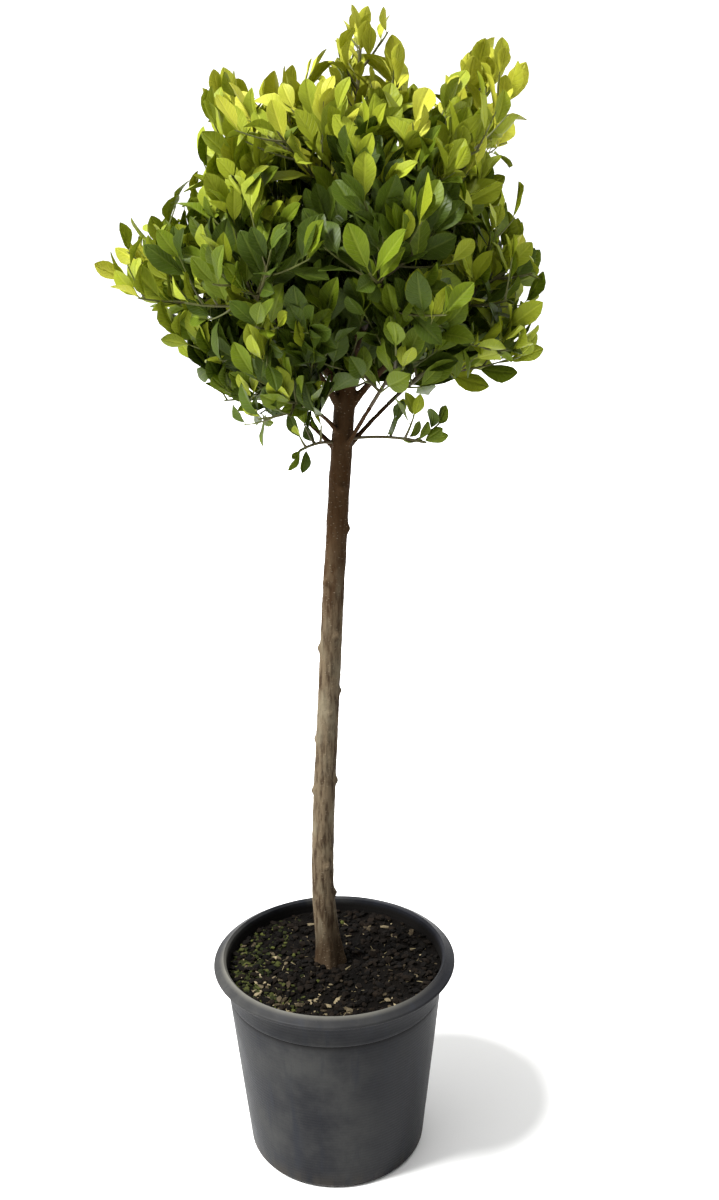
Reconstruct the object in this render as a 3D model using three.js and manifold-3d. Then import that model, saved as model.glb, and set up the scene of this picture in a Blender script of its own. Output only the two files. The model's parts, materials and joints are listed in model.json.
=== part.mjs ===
// A standard ficus in a nursery pot: a clear stem, a round crown of leafy shoots, and the soil it grows in.
// Millimetres, +Z up. The origin is the middle of the pot's flat underside, and the front faces -Y.
import * as THREE from "three";
import { mergeVertices } from "three/addons/utils/BufferGeometryUtils.js";
import Module from "manifold-3d";

const wasm = await Module();
wasm.setup();

// Gap left between pieces that touch on the real plant.
const CLEARANCE = 0.3;
const UP = new THREE.Vector3(0, 0, 1);
const GOLDEN_ANGLE = Math.PI * (3 - Math.sqrt(5));

// Driving dimensions of the pot, a tapered tub with a turned-out lip and a stacking step below it.
const POT = {
  height: 255,
  rimRadius: 150,
  lipWidth: 12.5,
  lipDrop: 8,
  baseRadius: 110,
  edgeRadius: 7,
  wall: 2.5,
  floor: 3,
  stepBelowRim: 42,
  stepDepth: 1.4,
  stepHeight: 3,
  sides: 32,
};

// The soil fills the pot to a little below the rim and is heaped slightly round the stem.
const SOIL = { belowRim: 19, mound: 5, seatRadius: 30, lump: 1.6, rings: 2 };

// The trunk's sideways drift at heights above the pot's underside, and its radius from root flare to tip.
const TRUNK = {
  drift: [
    [-5, 241.3],
    [-12.5, 345],
    [-1.5, 585],
    [14, 822],
    [23, 934],
    [31, 1035],
  ],
  footRadius: 18,
  lowRadius: 14,
  headRadius: 12,
  tipRadius: 9.5,
  flareHeight: 26,
  flareLobes: 4,
  flareRelief: 0.14,
  headHeight: 934,
  sides: 10,
  steps: 16,
};

// The crown's outline from the front, as it shows from the eye: a circle about the centre with lobes, each at
// an angle in degrees from +X up and round, and with one hollow where the stem comes in. From front to back
// the crown closes in as an ellipse of the given depth. Each limb ends in a tuft that may stand out of it,
// and leaf tips may stand out by the fringe, as a share of the distance from the centre.
const CROWN = {
  centre: new THREE.Vector3(27, 0, 1096),
  eye: new THREE.Vector3(36.5, -1263, 1016),
  radius: 185,
  lobes: [
    { at: 25, rise: 35, width: 18 },
    { at: 50, rise: 78, width: 10 },
    { at: 85, rise: 65, width: 10 },
    { at: 131, rise: 50, width: 9 },
    { at: 182, rise: 78, width: 14 },
    { at: 214, rise: 45, width: 20 },
    { at: 246, rise: 75, width: 11 },
    { at: 272, rise: -25, width: 12 },
    { at: 338, rise: 55, width: 20 },
  ],
  depth: 210,
  fringe: 1.06,
  tuft: 30,
};

// Rings of limbs round the head of the trunk. Angles are in degrees: azimuth 0 is +X and 90 is +Y.
// Every other limb of a ring starts higher by the stagger and ends lower by the sway. The rise is the angle
// at which a limb leaves the trunk.
const RINGS = [
  { name: "upper", count: 6, phase: 18, elevation: 50, sway: 20, attach: 968, stagger: 22 },
  { name: "middle", count: 6, phase: -12, elevation: -10, sway: -6, attach: 918, stagger: 24 },
  { name: "lower", count: 5, phase: 20, elevation: -40, sway: 16, attach: 872, stagger: 18 },
];
const LIMB_RISE = { upper: 66, middle: 52, lower: 48 };
const LIMB_RADIUS = { upper: 4.8, middle: 4.3, lower: 3.2 };

// The leader goes straight on from the trunk's tip.
const LEADER = { name: "leader", azimuth: 0, elevation: 85, radius: 4.6 };

// Two sprigs of small leaves grow from the trunk just below the crown.
const SPRIGS = [
  { name: "sprig_right", attach: 890, azimuth: -8, length: 90, rise: 10, twigLength: 27, leafScale: 0.66 },
  { name: "sprig_left", attach: 884, azimuth: 208, length: 50, rise: 24, twigLength: 22, leafScale: 0.62 },
];
const SPRIG = { radius: 1.8, droop: 2, twigs: 3, lift: 1.2, bareShare: 0.5 };

// A limb is a bough for the first share of its length, and the stem of a mass of leaves for the rest.
const LIMB = { boughShare: 0.46, bowShare: 0.46, heartShare: 0.6, stemInset: 0.85, tipRadius: 1.6 };
const LIMB_MESH = { sides: 6, boughSteps: 4, stemSides: 4, stemSteps: 3, twigSides: 3 };

// Side twigs are longest and spread widest at the foot of a stem, and lift towards the light. Each play is
// how much a value varies from twig to twig: angles in degrees, the turn in radians, and the rest as shares.
const TWIG = {
  count: 8,
  bareShare: 0.08,
  lastAt: 0.97,
  placePlay: 0.6,
  lengths: [122, 66],
  lengthPlay: 0.3,
  spread: [72, 44],
  spreadPlay: 16,
  turnPlay: 0.8,
  lift: 0.22,
  trims: 5,
  probes: 28,
  probeFrom: 0.1,
};
const TWIG_RADIUS = { foot: 1.8, tip: 1.1 };

// A leaf's blade is folded up along its midrib and droops at the tip. Heights are for a leaf of full size. It
// leans out from its shoot, less so at the tip, and faces outward and, by the skyward share, up.
const LEAF = {
  length: 60,
  width: 37,
  widestAt: 0.55,
  thickness: 2.2,
  thickestAt: 0.17,
  fold: 3.2,
  droop: 4,
  spacing: 16.5,
  sunk: 0.2,
  tipInset: 4,
  overhang: 44,
  lean: 58,
  leanPlay: 24,
  tipLean: 12,
  turnPlay: 0.4,
  sizePlay: 0.36,
  skyward: 1.1,
  facePlay: 0.5,
  tries: 9,
};

// How far a twig or leaf stays from other wood, and how much nearer its own mass's heart is than any other.
const LIMB_CLEARANCE = 3;
const SPACE_MARGIN = 2.5;
const BEADS = { limb: 16, trunk: 60 };
const SEED = 7;

const finish = (color, roughness) => new THREE.MeshStandardMaterial({ color, roughness, metalness: 0 });
const MATERIALS = {
  pot: finish(0x4a4c4d, 0.55),
  soil: finish(0x2a221b, 0.95),
  bark: finish(0x5b4b3a, 0.85),
  leaf: finish(0x5f8a1f, 0.4),
};

const radians = THREE.MathUtils.degToRad;
const mix = THREE.MathUtils.lerp;

// A repeatable stream of numbers from 0 to 1.
function seeded(seed) {
  let state = seed >>> 0;
  return () => {
    state = (state + 0x6d2b79f5) >>> 0;
    let bits = Math.imul(state ^ (state >>> 15), state | 1);
    bits ^= bits + Math.imul(bits ^ (bits >>> 7), bits | 61);
    return ((bits ^ (bits >>> 14)) >>> 0) / 4294967296;
  };
}

// A value that varies evenly about a middle one.
const vary = (random, middle, play) => middle + play * (random() - 0.5);

// Unit vector at an azimuth and an elevation in degrees.
function direction(azimuth, elevation) {
  const level = Math.cos(radians(elevation));
  const [a, e] = [radians(azimuth), radians(elevation)];
  return new THREE.Vector3(Math.cos(a) * level, Math.sin(a) * level, Math.sin(e));
}

// Two unit vectors square to a tangent and to each other, the first as near to a reference as it can be.
function frame(tangent, reference) {
  const side = reference.clone().addScaledVector(tangent, -reference.dot(tangent)).normalize();
  return [side, new THREE.Vector3().crossVectors(tangent, side)];
}

// Any vector that isn't close to parallel with the tangent.
function steadyReference(tangent) {
  return Math.abs(tangent.z) < 0.9 ? UP : new THREE.Vector3(1, 0, 0);
}

function indexedGeometry(vertices, triangles) {
  const geometry = new THREE.BufferGeometry().setFromPoints(vertices);
  geometry.setIndex(triangles.flat());
  return geometry;
}

// A geometry's shape alone, with the vertices that share a place made one.
function welded(geometry) {
  const bare = geometry.clone();
  bare.deleteAttribute("normal");
  bare.deleteAttribute("uv");
  return mergeVertices(bare, 1e-3);
}

// A closed mesh as a solid that can be joined and cut.
function toSolid(geometry) {
  const merged = welded(geometry);
  return new wasm.Manifold(
    new wasm.Mesh({
      numProp: 3,
      vertProperties: merged.attributes.position.array,
      triVerts: new Uint32Array(merged.index.array),
    }),
  );
}

// The largest body of a solid as a mesh geometry, without sealed hollows or loose scraps.
function toGeometry(solid) {
  const whole = solid.decompose().reduce((best, body) => (body.volume() > best.volume() ? body : best));
  const mesh = whole.getMesh();
  const geometry = new THREE.BufferGeometry();
  geometry.setAttribute("position", new THREE.BufferAttribute(mesh.vertProperties, mesh.numProp));
  geometry.setIndex(new THREE.BufferAttribute(mesh.triVerts, 1));
  return geometry.toNonIndexed();
}

// A closed tapering tube through stations {point, tangent, radius}. relief scales the radius round a section.
function taperedTube(stations, sides, reference, relief = () => 1) {
  const vertices = [];
  const triangles = [];
  stations.forEach(({ point, tangent, radius }, level) => {
    const [side, normal] = frame(tangent, reference);
    for (let i = 0; i < sides; i++) {
      const angle = (2 * Math.PI * i) / sides;
      const out = radius * relief(angle, level);
      const corner = point.clone().addScaledVector(side, Math.cos(angle) * out);
      vertices.push(corner.addScaledVector(normal, Math.sin(angle) * out));
    }
  });
  const last = (stations.length - 1) * sides;
  for (let start = 0; start < last; start += sides) {
    for (let i = 0; i < sides; i++) {
      const j = (i + 1) % sides;
      triangles.push([start + i, start + j, start + sides + j]);
      triangles.push([start + i, start + sides + j, start + sides + i]);
    }
  }
  for (let i = 1; i < sides - 1; i++) {
    triangles.push([0, i + 1, i]);
    triangles.push([last, last + i, last + i + 1]);
  }
  return indexedGeometry(vertices, triangles);
}

// Evenly stepped stations along a stretch of a curve, from one radius to another.
function stationsAlong(curve, from, to, steps, startRadius, endRadius) {
  return Array.from({ length: steps + 1 }, (_, i) => {
    const t = mix(from, to, i / steps);
    const radius = mix(startRadius, endRadius, i / steps);
    return { point: curve.getPoint(t), tangent: curve.getTangent(t), radius };
  });
}

// Pot

function potWallRadius(z) {
  const top = POT.rimRadius - POT.lipWidth;
  return mix(POT.baseRadius, top, z / POT.height);
}

// A point on a quarter-round, used for the pot's bottom edge and its lip.
function arcPoint(x, y, radius, degrees) {
  return new THREE.Vector2(x + radius * Math.cos(radians(degrees)), y + radius * Math.sin(radians(degrees)));
}

function lathed(profile) {
  return new THREE.LatheGeometry(profile, POT.sides).rotateX(Math.PI / 2);
}

function potGeometry() {
  const { height, rimRadius, lipDrop, edgeRadius, wall, floor } = POT;
  const stepTop = height - POT.stepBelowRim;
  const stepFoot = stepTop - POT.stepHeight;
  const lipRound = lipDrop / 2;
  const edgeCentre = potWallRadius(edgeRadius) - edgeRadius;
  const profile = [
    new THREE.Vector2(0, 0),
    ...[-90, -45, 0].map((a) => arcPoint(edgeCentre, edgeRadius, edgeRadius, a)),
    new THREE.Vector2(potWallRadius(stepFoot) - POT.stepDepth, stepFoot),
    new THREE.Vector2(potWallRadius(stepTop), stepTop),
    new THREE.Vector2(potWallRadius(height - lipDrop), height - lipDrop),
    new THREE.Vector2(rimRadius - lipRound, height - lipDrop),
    ...[-45, 0, 45, 90].map((a) => arcPoint(rimRadius - lipRound, height - lipRound, lipRound, a)),
    new THREE.Vector2(potWallRadius(height) - wall, height),
    new THREE.Vector2(potWallRadius(stepTop) - wall, stepTop),
    new THREE.Vector2(potWallRadius(stepFoot) - wall - POT.stepDepth, stepFoot),
    new THREE.Vector2(potWallRadius(floor) - wall - edgeRadius / 2, floor),
    new THREE.Vector2(0, floor),
  ];
  return welded(lathed(profile));
}

// Soil

function soilGeometry() {
  const random = seeded(SEED);
  const { wall, floor, edgeRadius } = POT;
  const level = POT.height - SOIL.belowRim;
  const stepTop = POT.height - POT.stepBelowRim;
  const stepFoot = stepTop - POT.stepHeight;
  const gap = CLEARANCE / Math.cos(Math.PI / POT.sides);
  const inside = (z) => potWallRadius(z) - wall - gap;
  const edge = inside(level);
  const bottom = floor + CLEARANCE;
  const profile = [
    new THREE.Vector2(0, bottom),
    new THREE.Vector2(inside(bottom) - edgeRadius / 2, bottom),
    new THREE.Vector2(inside(stepFoot) - POT.stepDepth, stepFoot),
    new THREE.Vector2(inside(stepTop), stepTop),
    new THREE.Vector2(edge, level),
  ];
  for (let ring = 1; ring <= SOIL.rings + 1; ring++) {
    const share = ring / (SOIL.rings + 1);
    profile.push(new THREE.Vector2(mix(edge, SOIL.seatRadius, share), level + SOIL.mound * share));
  }
  profile.push(new THREE.Vector2(0, level + SOIL.mound));
  const geometry = welded(lathed(profile));
  const position = geometry.attributes.position;
  for (let i = 0; i < position.count; i++) {
    const out = Math.hypot(position.getX(i), position.getY(i));
    const lump = (random() - 0.5) * 2 * SOIL.lump;
    const loose = position.getZ(i) > level - 1 && out > SOIL.seatRadius + 1 && out < edge - 1;
    if (loose) position.setZ(i, position.getZ(i) + lump);
  }
  return geometry;
}

// Trunk

const trunkCurve = new THREE.CatmullRomCurve3(
  TRUNK.drift.map(([x, z]) => new THREE.Vector3(x, 0, z)),
  false,
  "centripetal",
);
const trunkFoot = TRUNK.drift[0][1];
const trunkTip = TRUNK.drift.at(-1)[1];

// The point of the trunk's line at a height, by halving.
function trunkLine(z) {
  let [low, high] = [0, 1];
  for (let i = 0; i < 40; i++) {
    const middle = (low + high) / 2;
    if (trunkCurve.getPoint(middle).z < z) low = middle;
    else high = middle;
  }
  return trunkCurve.getPoint(low);
}

function trunkRadius(z) {
  const { lowRadius, headRadius, tipRadius, headHeight } = TRUNK;
  const flare = (TRUNK.footRadius - lowRadius) * Math.exp(-(z - trunkFoot) / TRUNK.flareHeight);
  if (z < headHeight) return flare + mix(lowRadius, headRadius, (z - trunkFoot) / (headHeight - trunkFoot));
  return mix(headRadius, tipRadius, (z - headHeight) / (trunkTip - headHeight));
}

// The trunk, or the same shape grown by a margin for cutting its neighbours clear of it.
function trunkGeometry(margin = 0) {
  const heights = Array.from({ length: TRUNK.steps + 1 }, (_, i) => {
    const share = i / TRUNK.steps;
    return mix(trunkFoot, trunkTip, share * mix(0.55, 1, share));
  });
  const stations = heights.map((z) => {
    return { point: trunkLine(z), tangent: UP, radius: trunkRadius(z) + margin };
  });
  const relief = (angle, level) => {
    const fade = Math.exp(-(heights[level] - trunkFoot) / TRUNK.flareHeight);
    return 1 + TRUNK.flareRelief * fade * Math.cos(TRUNK.flareLobes * angle);
  };
  return taperedTube(stations, TRUNK.sides, new THREE.Vector3(1, 0, 0), relief);
}

// Limbs: each is one curve from the trunk to the far tip of its mass of leaves.

// What the limbs of the crown have in common.
const CROWN_LIMB = {
  inCrown: true,
  twigs: TWIG.count,
  twigLengths: TWIG.lengths,
  twigLift: TWIG.lift,
  leafScale: 1,
  bareShare: TWIG.bareShare,
};

// The end of a stem whose last leaf reaches the crown's outline, found by halving.
function stemTip(azimuth, elevation) {
  const out = direction(azimuth, elevation);
  let [near, far] = [0, 2 * CROWN.radius];
  for (let i = 0; i < 40; i++) {
    const middle = (near + far) / 2;
    if (crownDepth(CROWN.centre.clone().addScaledVector(out, middle)) < 1) near = middle;
    else far = middle;
  }
  return CROWN.centre.clone().addScaledVector(out, near - LEAF.overhang);
}

function ringLimbs(ring) {
  return Array.from({ length: ring.count }, (_, i) => {
    const name = `${ring.name}_${i + 1}`;
    const azimuth = ring.phase + (360 * i) / ring.count;
    const start = trunkLine(ring.attach + (i % 2) * ring.stagger);
    const tip = stemTip(azimuth, ring.elevation - (i % 2) * ring.sway);
    const out = direction(azimuth, LIMB_RISE[ring.name]);
    const bend = start.clone().addScaledVector(out, start.distanceTo(tip) * LIMB.bowShare);
    const curve = new THREE.QuadraticBezierCurve3(start, bend, tip);
    return { ...CROWN_LIMB, name, azimuth, curve, radius: LIMB_RADIUS[ring.name], split: LIMB.boughShare };
  });
}

function leaderLimb() {
  const { name, azimuth, radius } = LEADER;
  const start = trunkLine(trunkTip).addScaledVector(UP, CLEARANCE);
  const tip = stemTip(azimuth, LEADER.elevation);
  const bend = start.clone().addScaledVector(UP, start.distanceTo(tip) * LIMB.bowShare);
  const curve = new THREE.QuadraticBezierCurve3(start, bend, tip);
  return { ...CROWN_LIMB, name, azimuth, curve, radius, split: 0 };
}

function sprigLimb({ name, attach, azimuth, length, rise, twigLength, leafScale }) {
  const start = trunkLine(attach);
  const tip = start.clone().addScaledVector(direction(azimuth, 0), length).addScaledVector(UP, -SPRIG.droop);
  const bend = start.clone().addScaledVector(direction(azimuth, rise), length / 2);
  const curve = new THREE.QuadraticBezierCurve3(start, bend, tip);
  const { radius, twigs, bareShare } = SPRIG;
  const twigShape = { twigs, twigLengths: [twigLength, twigLength], twigLift: SPRIG.lift, bareShare };
  return { ...twigShape, name, azimuth, curve, radius, split: 0, inCrown: false, leafScale };
}

const limbs = [...RINGS.flatMap(ringLimbs), leaderLimb(), ...SPRIGS.map(sprigLimb)];
limbs.forEach((limb, index) => {
  limb.seed = SEED + 100 * index;
  limb.side = direction(limb.azimuth + 90, 0);
  limb.heart = limb.curve.getPoint(mix(limb.split, 1, LIMB.heartShare));
  limb.tip = limb.curve.getPoint(1);
});

const limbRadius = (limb, t) => mix(limb.radius, LIMB.tipRadius, t);

function boughStations(limb, steps) {
  return stationsAlong(limb.curve, 0, limb.split, steps, limb.radius, limbRadius(limb, limb.split));
}

function boughGeometry(limb, trunkCut) {
  const tube = taperedTube(boughStations(limb, LIMB_MESH.boughSteps), LIMB_MESH.sides, limb.side);
  return toGeometry(toSolid(tube).subtract(trunkCut));
}

// Foliage: a stem with side twigs at the golden angle, and leaves that alternate along every shoot.

// Everything that a twig or leaf has to keep clear of, as points with a radius. A stem lets its own near.
const boughBeads = limbs.filter((limb) => limb.split > 0).flatMap((limb) => boughStations(limb, BEADS.limb));
const stemBeads = limbs.flatMap((limb) => {
  const foot = limbRadius(limb, limb.split);
  const stations = stationsAlong(limb.curve, limb.split, 1, BEADS.limb, foot, LIMB.tipRadius);
  return stations.map((station) => ({ ...station, owner: limb }));
});
const trunkBeads = Array.from({ length: BEADS.trunk }, (_, i) => {
  const z = mix(trunkFoot, trunkTip, i / (BEADS.trunk - 1));
  return { point: trunkLine(z), radius: trunkRadius(z) };
});
const beads = [...boughBeads, ...stemBeads, ...trunkBeads];

// How far the crown's outline reaches from its centre at an angle in degrees.
function outlineReach(turn) {
  return CROWN.lobes.reduce((reach, { at, rise, width }) => {
    const aside = THREE.MathUtils.euclideanModulo(turn - at + 180, 360) - 180;
    return reach + rise * Math.exp(-((aside / width) ** 2));
  }, CROWN.radius);
}

// How far out a point lies: 0 at the crown's centre and 1 on its outline.
function crownDepth(point) {
  const { centre, eye, depth } = CROWN;
  const seen = eye.clone().lerp(point, eye.y / (eye.y - point.y)).sub(centre);
  const turn = THREE.MathUtils.radToDeg(Math.atan2(seen.z, seen.x));
  return Math.hypot(Math.hypot(seen.x, seen.z) / outlineReach(turn), point.y / depth);
}

// A mass's own space is where its heart is the nearest one, clear of the limbs, and no further out in the
// crown than a limit, or in the tuft at its own tip.
function inSpace(limb, points, limit) {
  return points.every((point) => {
    const mine = point.distanceTo(limb.heart);
    const others = limbs.filter((other) => other !== limb);
    const own = others.every((other) => point.distanceTo(other.heart) > mine + SPACE_MARGIN);
    const clear = beads.every((bead) => {
      return bead.owner === limb || point.distanceTo(bead.point) > bead.radius + LIMB_CLEARANCE;
    });
    const tufted = point.distanceTo(limb.tip) < CROWN.tuft;
    return own && clear && (tufted || crownDepth(point) < limit);
  });
}

// The side twigs of a limb's stem, each trimmed until its tip lies in the mass's space.
function sideTwigs(limb) {
  const twigs = [];
  const { probes, probeFrom } = TWIG;
  const probeShares = Array.from({ length: probes }, (_, i) => mix(probeFrom, 1, i / (probes - 1)));
  for (let i = 0; i < limb.twigs; i++) {
    const random = seeded(limb.seed + i);
    const share = (i + vary(random, 0.5, TWIG.placePlay)) / limb.twigs;
    const t = mix(mix(limb.split, 1, limb.bareShare), TWIG.lastAt, share);
    const tangent = limb.curve.getTangent(t);
    const [side, normal] = frame(tangent, limb.side);
    const turn = i * GOLDEN_ANGLE + TWIG.turnPlay * random();
    const spread = radians(vary(random, mix(...TWIG.spread, share), TWIG.spreadPlay));
    const length = mix(...limb.twigLengths, share) * vary(random, 1, TWIG.lengthPlay);
    const out = side.multiplyScalar(Math.cos(turn)).addScaledVector(normal, Math.sin(turn));
    const heading = tangent.multiplyScalar(Math.cos(spread)).addScaledVector(out, Math.sin(spread));
    heading.addScaledVector(UP, limb.twigLift).normalize();
    const root = limb.curve.getPoint(t);
    for (let trim = 0; trim < TWIG.trims; trim++) {
      const tip = root.clone().addScaledVector(heading, length * (1 - trim / (TWIG.trims + 1)));
      const line = probeShares.map((reached) => root.clone().lerp(tip, reached));
      if (inSpace(limb, line, limb.inCrown ? 1 : Infinity)) {
        twigs.push({
          stations: [
            { point: root, tangent: heading, radius: TWIG_RADIUS.foot },
            { point: tip, tangent: heading, radius: TWIG_RADIUS.tip },
          ],
          sides: LIMB_MESH.twigSides,
          reference: steadyReference(heading),
          bare: LEAF.spacing,
          leafLimit: limb.inCrown ? CROWN.fringe : Infinity,
          seed: limb.seed + 60 + i,
        });
        break;
      }
    }
  }
  return twigs;
}

// Where leaves stand on a shoot: evenly spaced past its bare foot, with one at the tip.
function leafNodes({ points, headings, bare }) {
  const nodes = [];
  let along = 0;
  let next = bare;
  for (let i = 1; i < points.length; i++) {
    const step = points[i].distanceTo(points[i - 1]);
    for (; next < along + step; next += LEAF.spacing) {
      const point = points[i - 1].clone().lerp(points[i], (next - along) / step);
      nodes.push({ point, heading: headings[i - 1], atTip: false });
    }
    along += step;
  }
  const heading = headings.at(-1);
  const tip = points.at(-1).clone().addScaledVector(heading, -LEAF.tipInset);
  const spaced = nodes.filter(({ point }) => point.distanceTo(tip) > LEAF.spacing / 3);
  return [...spaced, { point: tip, heading, atTip: true }];
}

// A leaf's place: it leans out from its shoot, alternately to each side, and turns its face up and outward.
function leafPlace(node, order, random, scale) {
  const [side, normal] = frame(node.heading, steadyReference(node.heading));
  const turn = vary(random, (Math.PI / 3) * (2 * order + 1), LEAF.turnPlay);
  const lean = radians(node.atTip ? LEAF.tipLean : vary(random, LEAF.lean, LEAF.leanPlay));
  const size = scale * vary(random, 1, LEAF.sizePlay);
  const out = side.multiplyScalar(Math.cos(turn)).addScaledVector(normal, Math.sin(turn));
  const along = node.heading.clone().multiplyScalar(Math.cos(lean)).addScaledVector(out, Math.sin(lean));
  const sky = node.point.clone().sub(CROWN.centre).normalize().addScaledVector(UP, LEAF.skyward);
  sky.addScaledVector(out, vary(random, 0, LEAF.facePlay));
  const [face] = frame(along, sky);
  const across = new THREE.Vector3().crossVectors(face, along);
  return { root: node.point.clone().addScaledVector(along, -LEAF.sunk), along, across, face, size };
}

// A point of a leaf, by its shares of length and half width, and its height over the blade.
function leafPoint(leaf, share, aside, height) {
  const point = leaf.root.clone().addScaledVector(leaf.along, share * LEAF.length * leaf.size);
  point.addScaledVector(leaf.across, (aside * LEAF.width * leaf.size) / 2);
  return point.addScaledVector(leaf.face, height * leaf.size);
}

// The outline of a leaf's blade as a loop of four corners: root, left, tip and right.
function leafOutline(leaf) {
  const { widestAt, fold, droop } = LEAF;
  return [
    leafPoint(leaf, 0, 0, 0),
    leafPoint(leaf, widestAt, 1, fold),
    leafPoint(leaf, 1, 0, -droop),
    leafPoint(leaf, widestAt, -1, fold),
  ];
}

// Six corners and eight faces: a pointed blade folded along its midrib, thickest near its stalk.
function leafGeometry(leaf) {
  const { thickestAt, thickness } = LEAF;
  const corners = [
    ...leafOutline(leaf),
    leafPoint(leaf, thickestAt, 0, thickness / 2),
    leafPoint(leaf, thickestAt, 0, -thickness / 2),
  ];
  const faces = [0, 1, 2, 3].flatMap((i) => {
    const j = (i + 1) % 4;
    return [
      [j, i, 4],
      [i, j, 5],
    ];
  });
  return indexedGeometry(corners, faces);
}

// Points over a leaf's blade that have to lie in its mass's space.
function leafProbes(leaf) {
  const probes = [...leafOutline(leaf).slice(1), leafPoint(leaf, 0.12, 0, 0)];
  for (const share of [0.25, 0.4, 0.55, 0.7, 0.85]) {
    for (const aside of [-0.9, -0.45, 0, 0.45, 0.9]) {
      const narrowed = aside * (share < LEAF.widestAt ? share / LEAF.widestAt : 1);
      probes.push(leafPoint(leaf, share, narrowed, 0));
    }
  }
  return probes;
}

// Whether the straight line between two points passes through a blade given by its outline.
function pierces(from, to, [root, left, tip, right]) {
  const ray = new THREE.Ray(from, to.clone().sub(from).normalize());
  const length = from.distanceTo(to);
  return [left, right].some((edge) => {
    const hit = ray.intersectTriangle(root, edge, tip, false, new THREE.Vector3());
    return hit !== null && hit.distanceTo(from) < length;
  });
}

// The four sides of a blade and its midrib.
function bladeEdges(outline) {
  const rim = outline.map((corner, i) => [corner, outline[(i + 1) % 4]]);
  return [...rim, [outline[0], outline[2]]];
}

function bladesCross(one, other) {
  const through = (outline, blade) => bladeEdges(outline).some(([from, to]) => pierces(from, to, blade));
  return through(one, other) || through(other, one);
}

// Leaves along one shoot. A leaf that doesn't fit is turned further round the shoot and tried again.
function shootLeaves(limb, shoot, shoots, placed) {
  const random = seeded(shoot.seed);
  const segments = shoots
    .filter((other) => other !== shoot)
    .flatMap(({ points }) => points.slice(1).map((point, i) => [points[i], point]));
  leafNodes(shoot).forEach((node, order) => {
    for (let attempt = 0; attempt < LEAF.tries; attempt++) {
      const leaf = leafPlace(node, order + attempt, random, limb.leafScale);
      const outline = leafOutline(leaf);
      const free =
        inSpace(limb, leafProbes(leaf), shoot.leafLimit) &&
        !placed.some((other) => bladesCross(outline, other.outline)) &&
        !segments.some(([from, to]) => pierces(from, to, outline));
      if (free) {
        placed.push({ leaf, outline });
        break;
      }
    }
  });
}

// A mass of leaves as one body: a stem that starts clear of its bough, with side twigs and leaves fused on.
function massGeometry(limb, trunkCut) {
  const from = limb.split > 0 ? limb.split + (1.5 * CLEARANCE) / limb.curve.getLength() : 0;
  const startRadius = limbRadius(limb, from) * LIMB.stemInset;
  const stem = {
    stations: stationsAlong(limb.curve, from, 1, LIMB_MESH.stemSteps, startRadius, LIMB.tipRadius),
    sides: LIMB_MESH.stemSides,
    reference: limb.side,
    bare: Math.max(LEAF.spacing, limb.bareShare * limb.curve.getLength()),
    leafLimit: Infinity,
    seed: limb.seed + 50,
  };
  const shoots = [stem, ...sideTwigs(limb)];
  shoots.forEach((shoot) => {
    shoot.points = shoot.stations.map(({ point }) => point);
    shoot.headings = shoot.stations.map(({ tangent }) => tangent);
  });
  const placed = [];
  shoots.forEach((shoot) => shootLeaves(limb, shoot, shoots, placed));
  const pieces = [
    ...shoots.map(({ stations, sides, reference }) => taperedTube(stations, sides, reference)),
    ...placed.map(({ leaf }) => leafGeometry(leaf)),
  ];
  const joined = wasm.Manifold.union(pieces.map(toSolid));
  return toGeometry(joined.subtract(trunkCut));
}

// Assembly

function named(name, geometry, material) {
  const mesh = new THREE.Mesh(geometry, material);
  mesh.name = name;
  return mesh;
}

const trunkCut = toSolid(trunkGeometry(CLEARANCE));
const plant = new THREE.Group();
plant.add(named("pot", potGeometry(), MATERIALS.pot));
plant.add(named("soil", soilGeometry(), MATERIALS.soil));
plant.add(named("trunk", trunkGeometry(), MATERIALS.bark));
for (const limb of limbs) {
  if (limb.split > 0) plant.add(named(`bough_${limb.name}`, boughGeometry(limb, trunkCut), MATERIALS.bark));
  plant.add(named(`leaves_${limb.name}`, massGeometry(limb, trunkCut), MATERIALS.leaf));
}

export default plant;
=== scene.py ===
"""A standard ficus in a nursery pot, dressed over the frame of its part.

Everything is in metres in the frame's own space: +Z is up and the front faces -Y. Wood, twigs and
leaves grow by the part's own seeded rule, which is carried on here to finer twigs and to leaves of
their true size.
"""
import json
import logging
import math
from dataclasses import dataclass, field
from enum import Enum
from functools import partial
from typing import Callable, Iterator, Sequence, Union

import bpy
import numpy as np
from mathutils import Matrix, Vector, noise

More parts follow.
